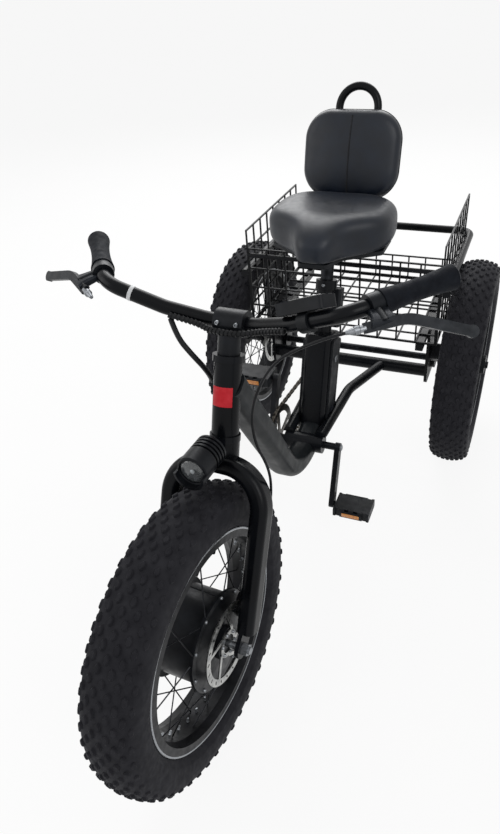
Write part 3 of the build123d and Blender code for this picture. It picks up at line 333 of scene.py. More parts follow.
def make_finishes(colours):
    """Fill the table of finishes, one for each real material of the tricycle."""
    finishes.update(
        paint=gloss_powder_coat("gloss_black_powder_coat", colours.paint, "#0D0F13"),
        wire=gloss_powder_coat("dipped_black_wire", "#0C0D0F", "#17181B", (0.35, 0.5)),
        graphite=satin_enamel("satin_graphite_enamel", colours.graphite, "#191D1F"),
        anodised=black_anodised_aluminium("black_anodised_aluminium"),
        rim=black_anodised_aluminium("black_anodised_rim", "#0C0D0F", "#15161A"),
        polished=bare_metal("machined_rim_lip", "#85888C", "#93969A", (0.24, 0.34)),
        steel=bare_metal("ground_stainless_steel", "#8B8C8C", "#B5B5B2", (0.24, 0.4)),
        zinc=bare_metal("zinc_plated_steel", "#6C6F73", "#94979B", (0.3, 0.44)),
        black_steel=bare_metal("blackened_steel", "#1A1B1D", "#2B2C2F", (0.34, 0.5)),
        oiled=bare_metal("oiled_chain_steel", "#2A2724", "#56524C", (0.3, 0.5)),
        lever=black_anodised_aluminium("painted_lever_aluminium", "#0A0D11", "#12161B"),
        tyre=carbon_black_rubber("carbon_black_tyre_rubber", colours.rubber, "#2D2D31", "#323135"),
        rubber=carbon_black_rubber("moulded_grip_rubber", "#121419", "#1B1E24", "#1C1F24"),
        leather=black_leatherette("black_leatherette", colours.leather, "#0D1521"),
        thread=moulded_plastic("sewn_piping", "#101114", "#1A1B1F", (0.5, 0.65)),
        plastic=moulded_plastic("moulded_black_abs", "#0F1114", "#191B1F"),
        sleeve=moulded_plastic("pvc_cable_sleeve", "#0E0F11", "#1A1B1E", (0.34, 0.48)),
        bracket=black_anodised_aluminium("grey_bracket_casting", "#1B1E23", "#262A30"),
        lens=clear_polycarbonate("clear_polycarbonate", "#E8EEF2"),
        window=clear_polycarbonate("smoked_window", "#0A0C10"),
        accent=enamel("red_enamel", colours.accent, "#D2303A"),
        white=enamel("white_enamel", "#D9DBDD", "#EEEFF0"),
        reflector=prism_acrylic("amber_reflector", colours.reflector, "#E39A45"),
    )


CAD_FINISH = {
    "paint": "head_tube seat_mast seat_tube bottom_bracket rear_beam chain_stays axle_plates "
    "basket_bearers basket_rail backrest_hoop fork handlebar",
    "wire": "basket_floor basket_front basket_rear basket_left basket_right",
    "graphite": "main_tube",
    "anodised": "front_hub_motor left_hub right_hub stem headlight front_caliper rear_calipers cranks",
    "rim": "front_rim left_rim right_rim",
    "steel": "front_rotor left_rotor right_rotor",
    "black_steel": "front_spokes left_spokes right_spokes seat_post rear_axle",
    "zinc": "front_axle",
    "oiled": "rear_sprocket chainring chain",
    "lever": "brake_levers",
    "tyre": "front_tyre left_tyre right_tyre",
    "rubber": "grips",
    "leather": "saddle backrest_pad",
    "plastic": "controller_box saddle_pan battery_covers display left_pedal right_pedal",
    "sleeve": "front_brake_cable control_cables",
    "lens": "headlight_lens",
}


# Mesh helpers


def make_piece(name, mesh_data, finish, body=None, crease=35.0):
    """Turn a bmesh into a shown piece of a finish, riding on a body."""
    mesh = bpy.data.meshes.new(name)
    bmesh.ops.recalc_face_normals(mesh_data, faces=mesh_data.faces)
    mesh_data.to_mesh(mesh)
    mesh_data.free()
    mesh.materials.append(finishes[finish])
    for polygon in mesh.polygons:
        polygon.use_smooth = True
    mesh.set_sharp_from_angle(angle=math.radians(crease))
    made = bpy.data.objects.new(name, mesh)
    bpy.context.scene.collection.objects.link(made)
    if body:
        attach(made, body)
    return made


def around(angle):
    """The direction across the x axis at an angle round it."""
    return Vector((0, math.cos(angle), math.sin(angle)))


def turn_profile(mesh, profile, place, steps=48, closed=True):
    """Turn (along, radius) pairs in millimetres about the x axis of a placing matrix."""
    rings = []
    for step in range(steps):
        out = around(math.tau * step / steps)
        rings.append(
            [mesh.verts.new(place @ ((X_AXIS * along + out * radius) * MM)) for along, radius in profile]
        )
    count = len(profile)
    for step in range(steps):
        one, two = rings[step], rings[(step + 1) % steps]
        for i in range(count if closed else count - 1):
            j = (i + 1) % count
            mesh.faces.new((one[i], one[j], two[j], two[i]))


def loft_rings(mesh, rings, caps=True):
    """Skin a list of rings of places, each with the same count."""
    made = [[mesh.verts.new(place) for place in ring] for ring in rings]
    count = len(made[0])
    for one, two in zip(made, made[1:]):
        for i in range(count):
            j = (i + 1) % count
            mesh.faces.new((one[i], one[j], two[j], two[i]))
    if caps:
        mesh.faces.new(made[0])
        mesh.faces.new(list(reversed(made[-1])))
    return made


def turned_piece(name, profile, place, steps, finish, body):
    """A piece turned from one profile."""
    mesh = bmesh.new()
    turn_profile(mesh, profile, place, steps)
    return make_piece(name, mesh, finish, body)


def add_screw(mesh, origin, along, radius, height, sides=6):
    """A hexagon head on a washer, or with many sides a button head with a socket; sizes in mm."""
    place = aimed(origin, along)
    foot, seat, socket = -0.4 * height, 0.2 * height, 0.35 * height
    washer = 1.35 * radius
    if sides == 6:
        turn_profile(mesh, [(foot, 0), (foot, washer), (seat, washer), (seat, 0)], place, 20)
        cap = [(seat, 0), (seat, radius), (height * 0.85, radius), (height, radius * 0.86), (height, 0)]
    else:
        cap = [
            (foot, 0), (foot, radius), (height * 0.5, radius), (height, radius * 0.72),
            (height, radius * 0.42), (socket, radius * 0.36), (socket, 0),
        ]
    turn_profile(mesh, cap, place, sides)


def add_tube(mesh, places, radius, sides=8):
    """A thin round bead along a line of places."""
    rings = []
    for i, place in enumerate(places):
        along = (places[min(i + 1, len(places) - 1)] - places[max(i - 1, 0)]).normalized()
        turn = aimed(place, along)
        rings.append([turn @ (around(math.tau * k / sides) * radius) for k in range(sides)])
    loft_rings(mesh, rings)


def add_slab(mesh, start, end, across, sections, corner=0.35, steps=24):
    """A rounded slab from start to end; sections are (share, half width, half thickness) in mm."""
    along = end - start
    side = (across - along * across.dot(along) / along.length_squared).normalized()
    thick = along.cross(side).normalized()
    rings = []
    for share, half_wide, half_thick in sections:
        middle = start + along * share
        rim = rounded_outline(half_wide, half_thick, min(half_wide, half_thick) * 2 * corner, steps)
        rings.append([middle + (side * u + thick * v) * MM for u, v in rim])
    loft_rings(mesh, rings)


def rounded_outline(half_x, half_y, corner, steps=64):
    """Points of a rounded rectangle, evenly turned."""
    points = []
    for step in range(steps):
        angle = math.tau * (step + 0.5) / steps
        c, s = math.cos(angle), math.sin(angle)
        x, y = math.copysign(half_x - corner, c), math.copysign(half_y - corner, s)
        points.append((x + corner * c, y + corner * s))
    return points


def smooth_curve(name, places, radius):
    """A bevelled NURBS cord through its route's points."""
    curve = bpy.data.curves.new(name, "CURVE")
    curve.dimensions = "3D"
    spline = curve.splines.new("NURBS")
    spline.points.add(len(places) - 1)
    for point, place in zip(spline.points, places):
        point.co = (*place, 1.0)
    spline.order_u = 3
    spline.use_endpoint_u = True
    spline.resolution_u = 10
    made = bpy.data.objects.new(name, curve)
    bpy.context.scene.collection.objects.link(made)
    bpy.context.view_layer.update()
    line = bpy.data.meshes.new_from_object(made)
    path = [vertex.co.copy() for vertex in line.vertices]
    bpy.data.meshes.remove(line)
    curve.bevel_depth = radius
    curve.bevel_resolution = 4
    curve.use_fill_caps = True
    return made, path


# Tyres


TYRE_RADIUS = 292.5
CROWN_HALF, CROWN_DROP = 46, 11
CASING = (
    # half of the tyre's section below the tread: out from its middle and from its axle
    (38.3, 199), (38.5, 212.4), (41.6, 215), (45.5, 218.6), (49.6, 226), (50.6, 227.2),
    (51.2, 229.6), (52.6, 238), (53.3, 249), (52.2, 261), (49.4, 270.4), (45.4, 276.4),
)
TREAD_STATIONS = (36, 24, 12, 0)
KNOB_OUTLINE = ((-1, -0.5), (0, -1), (1, -0.5), (1, 0.5), (0, 1), (-1, 0.5))
KNOB_ROOT = 1.5
KNOB_ROWS = (
    # across the tread, share of a pitch, length around and width
    (0, 0, (17, 8.6)),
    (13.2, 0.5, (17, 8.6)), (-13.2, 0.5, (17, 8.6)),
    (26.2, 0, (16.5, 8.4)), (-26.2, 0, (16.5, 8.4)),
    (38.4, 0.5, (16, 8)), (-38.4, 0.5, (16, 8)),
)
SHOULDER_ROWS = ((47.6, 0, (15, 8)), (-47.6, 0, (15, 8)))
SHOULDER_RADIUS, SHOULDER_LEAN = 272.6, 0.98


def tread_radius(x):
    """Radius of the tread over its knobs at a distance from its middle, in mm."""
    return TYRE_RADIUS - CROWN_DROP * (x / CROWN_HALF) ** 2


def add_knob(mesh, place, angle, x, radius, lean, size, height):
    """A drafted, chamfered six-sided tread knob on the casing."""
    along, wide = size
    out = Vector((math.sin(lean), math.cos(lean), 0.0))
    side = Vector((math.cos(lean), -math.sin(lean), 0.0))
    centre = Vector((x, radius, 0.0))
    spin = Matrix.Rotation(angle, 4, "X")
    rings = []
    for rise, grow in ((-KNOB_ROOT, 1.2), (height * 0.62, 1.02), (height, 0.76)):
        ring = []
        for u, v in KNOB_OUTLINE:
            spread = side * (u * wide / 2 * grow) + Vector((0, 0, v * along / 2 * grow))
            ring.append(place @ (spin @ ((centre + out * rise + spread) * MM)))
        rings.append(ring)
    loft_rings(mesh, rings)


class TRICYCLE_OT_tyres(bpy.types.Operator):
    """Mould the three fat tyres with their staggered knobs"""

    bl_idname = "tricycle.tyres"
    bl_label = "Tyres"

    def execute(self, context):
        sizes = context.scene.tricycle_sizes
        height = sizes.knob_height / MM
        pitch = math.tau / sizes.knob_pitches
        half = [*CASING, *((x, tread_radius(x) - height) for x in TREAD_STATIONS)]
        profile = half + [(-x, radius) for x, radius in reversed(half[:-1])]
        for wheel, (body, joint) in WHEELS.items():
            chance = random.Random(wheel)
            place = aimed(Vector(joint["pos_m"]), joint["axis"])
            mesh = bmesh.new()
            turn_profile(mesh, profile, place, 144)
            for step in range(sizes.knob_pitches):
                for x, shift, size in KNOB_ROWS:
                    angle = (step + shift + chance.uniform(-0.03, 0.03)) * pitch
                    lean = math.atan(2 * CROWN_DROP * x / CROWN_HALF**2)
                    knob = (size[0] * chance.uniform(0.9, 1.06), size[1] * chance.uniform(0.92, 1.06))
                    add_knob(mesh, place, angle, x, tread_radius(x) - height, lean, knob, height)
                for x, shift, size in SHOULDER_ROWS:
                    lean = math.copysign(SHOULDER_LEAN, x)
                    angle = (step + shift) * pitch
                    add_knob(mesh, place, angle, x, SHOULDER_RADIUS, lean, size, height * 0.9)
            made = make_piece(f"{wheel}_tyre_tread", mesh, "tyre", body, 40.0)
            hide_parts(f"{wheel}_tyre")
        return {"FINISHED"}


RIM_LIP = ((42.05, 209.4), (42.4, 210), (42.4, 212.3), (41.7, 213.3), (40.4, 213.4), (39.6, 213.05))
RIM_SEAT = 0.1905
NIPPLES = 36
NIPPLE = ((-8, 0), (-8, 2.1), (-2, 2.6), (0, 3.4), (0, 0))
VALVE = ((0, 0), (0, 3.1), (-22, 3.1), (-22, 2.4), (-24, 2.4), (-24, 3.9), (-38, 3.7), (-40, 2.6), (-40, 0))
VALVE_TURN = 0.9


class TRICYCLE_OT_wheel_trim(bpy.types.Operator):
    """Fit rim lips, spoke nipples and valves"""

    bl_idname = "tricycle.wheel_trim"
    bl_label = "Wheel trim"

    def execute(self, context):
        for wheel, (body, joint) in WHEELS.items():
            centre = Vector(joint["pos_m"])
            place = aimed(centre, joint["axis"])
            turn = place.to_3x3()
            mesh = bmesh.new()
            for side in (1, -1):
                turn_profile(mesh, [(side * x, radius) for x, radius in RIM_LIP], place, 120, False)
            make_piece(f"{wheel}_rim_lips", mesh, "polished", body)
            mesh = bmesh.new()
            for step in range(NIPPLES):
                out = turn @ around(math.tau * (step + 0.25) / NIPPLES)
                turn_profile(mesh, NIPPLE, aimed(centre + out * RIM_SEAT, out), 8)
            make_piece(f"{wheel}_nipples", mesh, "zinc", body)
            out = turn @ around(VALVE_TURN)
            foot = aimed(centre + out * RIM_SEAT, out)
            turned_piece(f"{wheel}_valve", VALVE, foot, 16, "rubber", body)
        return {"FINISHED"}


# Seat


SADDLE_STATIONS = (
    # behind the front axle, half width, top, bottom, share of the dish
    (686, 14, 766, 742, 0),
    (691, 29, 778, 735, 0),
    (704, 42, 793, 729, 0),
    (728, 53, 806, 726, 0),
    (750, 70, 814, 725, 0.1),
    (772, 104, 820, 724, 0.35),
    (795, 136, 825, 723, 0.7),
    (825, 150, 827, 722, 1),
    (860, 151, 828, 722, 1),
    (895, 149, 828, 722, 1),
    (920, 143, 827, 723, 0.9),
    (940, 128, 823, 726, 0.6),
    (953, 108, 815, 734, 0.3),
    (960, 80, 802, 748, 0),
)
DISH_HALF = 88.0


def saddle_ring(station, dish, points=48):
    """One cross-section of the saddle: flat below, full sides, a rounded top with a broad hollow."""
    back, half, top, bottom, share = station
    middle = bottom + (top - bottom) * 0.5
    ring = []
    for step in range(points):
        angle = math.tau * step / points
        c, s = math.cos(angle), math.sin(angle)
        x = half * math.copysign(abs(c) ** (0.7 if s > 0 else 0.4), c)
        tall = top - middle if s > 0 else middle - bottom
        z = middle + tall * math.copysign(abs(s) ** (0.7 if s > 0 else 0.45), s)
        if s > 0:
            z -= dish * share * math.exp(-((x / DISH_HALF) ** 2))
        ring.append(spot(x, back, z))
    return ring


PAD_LEAN = math.radians(16.0)
PAD_BACK, PAD_HEIGHT = 1018, 882
PAD_HALF = (121, 101)
PAD_CORNER = 68.0
PAD_FACE, PAD_FACE_SHARE = 16, 0.87
PAD_LAYERS = (
    # out of the pad's middle and share of its outline, from the back to the face
    (-25.5, 0.84), (-25, 0.93), (-20, 0.975), (-8, 1), (3, 0.985), (11, 0.94),
    (PAD_FACE, PAD_FACE_SHARE),
)
PAD_CROWN_SHARES = (0.75, 0.55, 0.35, 0.15)
WELT_SINK = 0.6


def pad_place(x, up, out):
    """A place on the backrest: across, up its face and out of it, from the pad's middle."""
    return spot(
        x,
        PAD_BACK + up * math.sin(PAD_LEAN) - out * math.cos(PAD_LEAN),
        PAD_HEIGHT + up * math.cos(PAD_LEAN) + out * math.sin(PAD_LEAN),
    )


def pad_rise(share, crown):
    """How far the backrest's face stands out at a share of the way from its middle to its edge."""
    return PAD_FACE + crown * (1 - (share / PAD_FACE_SHARE) ** 2)


class TRICYCLE_OT_seat(bpy.types.Operator):
    """Upholster the saddle and the backrest with leatherette, and pipe the backrest"""

    bl_idname = "tricycle.seat"
    bl_label = "Seat"

    def execute(self, context):
        sizes = context.scene.tricycle_sizes
        mesh = bmesh.new()
        loft_rings(mesh, [saddle_ring(station, sizes.saddle_dish / MM) for station in SADDLE_STATIONS])
        saddle = make_piece("saddle_cover", mesh, "leather", "frame", 80.0)
        saddle.modifiers.new("round", "SUBSURF").render_levels = 2
        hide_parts("saddle")

        crown = sizes.pad_crown / MM
        outline = rounded_outline(*PAD_HALF, PAD_CORNER)
        layers = [*PAD_LAYERS, *((pad_rise(share, crown), share) for share in PAD_CROWN_SHARES)]
        mesh = bmesh.new()
        loft_rings(mesh, [[pad_place(x * k, y * k, out) for x, y in outline] for out, k in layers])
        pad = make_piece("backrest_cushion", mesh, "leather", "frame", 80.0)
        pad.modifiers.new("round", "SUBSURF").render_levels = 2
        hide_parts("backrest_pad")

        # Sewn welts: down the backrest's middle and round its edge
        mesh = bmesh.new()
        tall = PAD_HALF[1]
        ups = [tall * (step / 12 - 1) * 0.86 for step in range(25)]
        middle = [pad_place(0, up, pad_rise(up / tall, crown) - WELT_SINK) for up in ups]
        edge = [pad_place(x * 0.99, y * 0.99, -8.0) for x, y in outline]
        for seam in (middle, edge + edge[:1]):
            add_tube(mesh, seam, sizes.piping)
        make_piece("seat_piping", mesh, "thread", "frame")
        return {"FINISHED"}


# Cables


BRAKE_ROUTE = (
    (251.6, -64.2, 576.9), (214.5, -85.4, 564.3), (165, -80, 540), (115, -58, 508),
    (80, -38, 460), (64, -33, 405), (72, -26, 350), (94, -8, 304),
    (98, 2.4, 252), (95, -3.9, 198), (97, -10, 146), (86, 5, 104),
    (69, 13, 66), (67, -8.6, 38.4),
)
LOOM_START = ((-105, -21.3, 541.4), (-86, -30, 514), (-58, -28, 488))
LOOM_END = ((-42, 236, 722), (-46, 264, 676), (-34.5, 288, 620))


class TRICYCLE_OT_cables(bpy.types.Operator):
    """Lay the front brake cable and the control loom"""

    bl_idname = "tricycle.cables"
    bl_label = "Cables"

    def execute(self, context):
        brake, path = smooth_curve("brake_cable_front", [steer(*place) for place in BRAKE_ROUTE], 0.0025)
        brake.data.materials.append(finishes["sleeve"])
        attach(brake, "steering")
        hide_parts("front_brake_cable")

        route = [steer(*place) for place in LOOM_START] + [spot(*place) for place in LOOM_END]
        guide, path = smooth_curve("loom_guide", route, 0.005)
        tube = bpy.data.meshes.new_from_object(guide)
        bpy.data.objects.remove(guide)
        tube.materials.append(finishes["sleeve"])
        loom = bpy.data.objects.new("control_loom", tube)
        context.scene.collection.objects.link(loom)
        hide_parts("control_cables")
        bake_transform(loom)
        return {"FINISHED"}


# Handlebar trim


BAR_PLACE, BAR_KNEE = Vector((46, 10, 545)), Vector((120, -18, 560))
BAR_ELBOW, BAR_END = Vector((222, -50, 593)), Vector((341, 84, 650))
LEVER_PIVOT, LEVER_BEND = Vector((252, -64, 577)), Vector((308, -32, 596))
CLAMP_FROM_END = 143.3
BRACKET_SECTIONS = (
    (0, 15, 4), (0.08, 16, 6), (0.5, 17.5, 7), (0.86, 22, 7), (1, 23, 5),
)
BRACKET_FACE = 0.0068
ADJUSTER = (
    (-4, 0), (-4, 5.4), (5, 5.4), (6, 6.6), (13, 6.6), (14, 5.4), (23, 3.8), (27, 3.2), (27, 0),
)
STEM_FACE, STEM_SCREW_OUT = 22.6, 18
RING_SHARE = 0.56  # of the run from knee to elbow
BAR_RING = ((-3.5, 12.6), (-3, 13.4), (3, 13.4), (3.5, 12.6))
WRAP_ROUTE = (
    (112, -31, 550), (80, -19, 544), (52, -10, 537), (30, -17, 532),
    (0, -19, 531), (-30, -17, 532), (-52, -10, 537), (-80, -19, 544),
    (-104, -27, 549),
)
WRAP_CORE, WRAP_PITCH, WRAP_SLANT = 0.0043, 0.0075, 0.3
WRAP_TURN = ((-2.3, 4), (-2.3, 5.8), (2.3, 5.8), (2.3, 4))
BAND_SPAN, BAND_STEPS = math.radians(92), 18
BAND_SECTION = ((24.8, 402), (25.9, 403), (25.9, 437), (24.8, 438))


def head(x, back, along):
    """A place on the frame's head tube, which does not turn."""
    return steer_foot + (X_AXIS * x + straight_back * back + steer_up * along) * MM


def bar_side(place, side):
    """A place on the front end as drawn for the left, or for side -1 mirrored to the right."""
    return steer(place[0] * side, place[1], place[2])


class TRICYCLE_OT_bar_trim(bpy.types.Operator):
    """Fit the lever brackets, cable adjusters, cable wrap and coloured bands"""

    bl_idname = "tricycle.bar_trim"
    bl_label = "Bar trim"

    def execute(self, context):
        brackets, barrels = bmesh.new(), bmesh.new()
        inward = (BAR_ELBOW - BAR_END).normalized()
        clamp = BAR_END + inward * CLAMP_FROM_END
        for side in (1, -1):
            start, end = bar_side(clamp, side), bar_side((LEVER_PIVOT + LEVER_BEND) / 2, side)
            bar_run = bar_side(clamp + inward, side) - start
            down = (end - start).normalized()
            add_slab(brackets, start + down * 0.013, end + down * 0.004, bar_run, BRACKET_SECTIONS)
            normal = down.cross(bar_run).normalized() * side
            add_screw(barrels, start.lerp(end, 0.55) + normal * BRACKET_FACE, normal, 5.2, 3.0, 20)
            pivot = bar_side(LEVER_PIVOT, side)
            turn_profile(barrels, ADJUSTER, aimed(pivot, bar_side(BRAKE_ROUTE[1], side) - pivot), 20)
        make_piece("lever_brackets", brackets, "bracket", "steering")
        for side in (-1, 1):
            face = steer(side * STEM_SCREW_OUT, BAR_PLACE.y - STEM_FACE, BAR_PLACE.z)
            add_screw(barrels, face, -steer_back, 4.5, 4.0, 20)
        make_piece("cable_adjusters", barrels, "zinc", "steering")

        guide, path = smooth_curve("wrap_guide", [steer(*place) for place in WRAP_ROUTE], WRAP_CORE)
        bpy.data.objects.remove(guide)
        wrap = bmesh.new()
        add_tube(wrap, path, WRAP_CORE, 12)
        travelled, next_turn = 0.0, 0.0
        for one, two in zip(path, path[1:]):
            step = (two - one).length
            slant = (two - one).normalized() + steer_up * WRAP_SLANT
            while next_turn < travelled + step:
                centre = one.lerp(two, (next_turn - travelled) / step)
                turn_profile(wrap, WRAP_TURN, aimed(centre, slant), 18)
                next_turn += WRAP_PITCH
            travelled += step
        make_piece("bar_cable_wrap", wrap, "sleeve", "steering")

        ring = BAR_KNEE.lerp(BAR_ELBOW, RING_SHARE)
        centre = bar_side(ring, -1)
        place = aimed(centre, bar_side(ring + BAR_ELBOW - BAR_KNEE, -1) - centre)
        turned_piece("bar_ring", BAR_RING, place, 40, "white", "steering")

        rings = []
        for step in range(BAND_STEPS + 1):
            angle = BAND_SPAN * (step / BAND_STEPS - 0.5)
            rings.append([head(r * math.sin(angle), -r * math.cos(angle), up) for r, up in BAND_SECTION])
        band = bmesh.new()
        loft_rings(band, rings)
        make_piece("head_tube_band", band, "accent", "frame")
        return {"FINISHED"}


# Headlight and display


LAMP_FORWARD = -(steer_back * math.cos(STEER_LEAN) + steer_up * math.sin(STEER_LEAN))
LAMP_PLACE = (0, -80, 322)
LAMP_DOME = ((27.3, 0), (27.3, 22.7), (32.8, 22.7), (35.2, 20.6), (37.2, 15), (38.2, 8), (38.5, 0))
LAMP_BOWL = ((27.6, 4), (27.6, 20), (31.5, 22), (31.8, 21.4), (28.4, 6), (28.2, 4))
LAMP_CHIP = ((27.6, 0), (27.6, 3.9), (29, 3.9), (30.4, 2.6), (30.8, 0))
LAMP_BEZEL = (
    (32.4, 23.6), (34.6, 23.8), (35.6, 25), (35, 27.6), (32.6, 28.6), (31, 28.9), (31, 23.6),
)
DISPLAY_SHARE = 0.3
DISPLAY_TOP = 35.2
WINDOW_SECTIONS = ((0, 33, 16), (0.8, 33, 16), (1, 32, 15))
WINDOW_SHIFT, KEY_SHIFT, KEY_PITCH = 0.011, 0.034, 0.0115
KEY = ((-2, 0), (-2, 4.4), (1.2, 4.4), (2.1, 3.4), (2.2, 0))


class TRICYCLE_OT_lamp_and_display(bpy.types.Operator):
    """Glaze the headlight and fit the display's window and buttons"""

    bl_idname = "tricycle.lamp_and_display"
    bl_label = "Headlight and display"

    def execute(self, context):
        place = aimed(steer(*LAMP_PLACE), LAMP_FORWARD)
        glass = turned_piece("lamp_glass", LAMP_DOME, place, 48, "lens", "steering")
        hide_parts("headlight_lens")
        # the reflector bowl is given dark blackened steel in place of chrome: a painted dark reflection
        # behind the glass
        turned_piece("lamp_bowl_painted_dark", LAMP_BOWL, place, 48, "black_steel", "steering")
        turned_piece("lamp_chip", LAMP_CHIP, place, 24, "white", "steering")
        turned_piece("lamp_bezel", LAMP_BEZEL, place, 48, "anodised", "steering")

        knee, elbow = steer(*BAR_KNEE), steer(*BAR_ELBOW)
        run = (elbow - knee).normalized()
        rise = (steer_up - run * steer_up.dot(run)).normalized()
        across = rise.cross(run)
        top = knee.lerp(elbow, DISPLAY_SHARE) + rise * DISPLAY_TOP * MM
        centre = top + run * WINDOW_SHIFT
        mesh = bmesh.new()
        add_slab(mesh, centre - rise * 0.002, centre + rise * 0.0016, run, WINDOW_SECTIONS, 0.14, 32)
        make_piece("display_window", mesh, "window", "steering")
        mesh = bmesh.new()
        for step in (-1, 0, 1):
            key = top - run * KEY_SHIFT + across * step * KEY_PITCH
            turn_profile(mesh, KEY, aimed(key, rise), 20)
        make_piece("display_keys", mesh, "rubber", "steering")
        return {"FINISHED"}


# Drive


CRANK_BACK, CRANK_HEIGHT = 612, 292
CHAIN_PITCH = 12.7
CHAIN_X = -68.0
RING_CENTRE, COG_CENTRE = spot(CHAIN_X, CRANK_BACK, CRANK_HEIGHT), spot(CHAIN_X, 1105, 292.5)
RING_TEETH, COG_TEETH = 42, 16
PLATE_ROUND = 3.9
PLATE_OFFSETS = (0.0021, 0.0032)  # inner and outer links by turns
ROLLER = ((-2.6, 0), (-2.6, 3.8), (2.6, 3.8), (2.6, 0))
FRAME_SECTIONS = ((0, 26, 8.5), (0.85, 26, 8.5), (1, 25, 7.6))
REFLECTOR_SECTIONS = ((0, 22.5, 5.6), (0.8, 22.5, 5.6), (1, 21.6, 4.8))


def chain_pins():
    """Places of the chain's pins, evenly along the loop."""
    big, small = (CHAIN_PITCH * MM / 2 / math.sin(math.pi / teeth) for teeth in (RING_TEETH, COG_TEETH))
    back = (COG_CENTRE - RING_CENTRE).normalized()
    up = X_AXIS.cross(back)
    spread = (COG_CENTRE - RING_CENTRE).length
    tilt = math.asin((big - small) / spread)
    run = math.sqrt(spread**2 - (big - small) ** 2)
    round_cog, round_ring = small * (math.pi - 2 * tilt), big * (math.pi + 2 * tilt)
    spans = (
        # length, wheel and its radius, angle and bend of each part of the loop
        (run, RING_CENTRE, big, tilt, 0.0),
        (round_cog, COG_CENTRE, small, tilt, 1 / small),
        (run, COG_CENTRE, small, math.pi - tilt, 0.0),
        (round_ring, RING_CENTRE, big, math.pi - tilt, 1 / big),
    )
    total = sum(span[0] for span in spans)
    count = 2 * round(total / (2 * CHAIN_PITCH * MM))
    pins = []
    for step in range(count):
        gone = total * step / count
        for length, centre, radius, angle, bend in spans:
            if gone < length:
                break
            gone -= length
        angle += gone * bend
        out = back * math.sin(angle) + up * math.cos(angle)
        ahead = back * math.cos(angle) - up * math.sin(angle)
        pins.append(centre + out * radius + ahead * (0.0 if bend else gone))
    return pins


def node_box(name):
    """Low corner, high corner and middle of a frame piece's box."""
    low, high = (Vector(corner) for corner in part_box(name))
    return low, high, (low + high) / 2


class TRICYCLE_OT_drive(bpy.types.Operator):
    """Link the chain and fit the pedals' reflectors"""

    bl_idname = "tricycle.drive"
    bl_label = "Drive"

    def execute(self, context):
        mesh = bmesh.new()
        pins = chain_pins()
        half_plate = X_AXIS * 0.0005
        for step, one in enumerate(pins):
            two = pins[(step + 1) % len(pins)]
            link = two - one
            half_long = link.length / MM / 2 + PLATE_ROUND
            sections = ((0.0, half_long, PLATE_ROUND), (1.0, half_long, PLATE_ROUND))
            for side in (1, -1):
                plate = one.lerp(two, 0.5) + X_AXIS * side * PLATE_OFFSETS[step % 2]
                add_slab(mesh, plate - half_plate, plate + half_plate, link, sections, 0.5, 16)
            turn_profile(mesh, ROLLER, aimed(one, X_AXIS), 10)
        chain = make_piece("chain_links", mesh, "oiled", "frame")
        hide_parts("chain")

        for hand in ("left", "right"):
            low, high, middle = node_box(f"{hand}_pedal")
            glow, frames = bmesh.new(), bmesh.new()
            for side, edge in ((-1, low.y), (1, high.y)):
                face = Vector((middle.x, edge, middle.z))
                out = Vector((0, side, 0))
                add_slab(frames, face - out * 0.003, face + out * 0.0016, X_AXIS, FRAME_SECTIONS, 0.16)
                add_slab(glow, face - out * 0.001, face + out * 0.0026, X_AXIS, REFLECTOR_SECTIONS, 0.14)
            make_piece(f"{hand}_reflector_frames", frames, "plastic", f"{hand}_pedal")
            make_piece(f"{hand}_reflectors", glow, "reflector", f"{hand}_pedal")
        return {"FINISHED"}


# Fasteners


MAST_LEAN = math.radians(16.7)
MAST_FOOT = (698, 268)
COVER_FACE = 39.3
LOCK = (
    (-2, 0), (-2, 9.2), (1.2, 9.2), (2.2, 7.8), (1.6, 5.2), (1.6, 1.6), (0.2, 1.4), (0.2, 0),
)
PORT_CAP = ((-2, 0), (-2, 12.5), (1.8, 12.5), (3.6, 10.8), (3.8, 0))
LOCK_UP, PORT_UP = 200, 62
COLLAR_FACE, COLLAR_UP = 25.6, 383
CRANK_FACE = 94.8
MOTOR_DISC_FACE, MOTOR_COVER_FACE = 66.8, 48.1
DISC_SCREWS, COVER_SCREWS = (22.5, 6, 0.5), (91.5, 10, 0)  # radius, count and turn
CALIPER_SCREW_OUT = 0.014


def mast(x, forward, along):
    """A place on the leaning seat mast: out to the left, ahead of its middle and up it."""
    up = Vector((0, math.sin(MAST_LEAN), math.cos(MAST_LEAN)))
    ahead = Vector((0, -math.cos(MAST_LEAN), math.sin(MAST_LEAN)))
    return spot(x, *MAST_FOOT) + (ahead * forward + up * along) * MM


def add_screw_ring(mesh, place, face, radius, count, turn, height):
    """Button heads evenly round a wheel's axis, at a distance along it."""
    along = place.to_3x3() @ X_AXIS * math.copysign(1, face)
    for step in range(count):
        foot = X_AXIS * face + around(math.tau * (step + turn) / count) * radius
        add_screw(mesh, place @ (foot * MM), along, 3.4, height, 16)


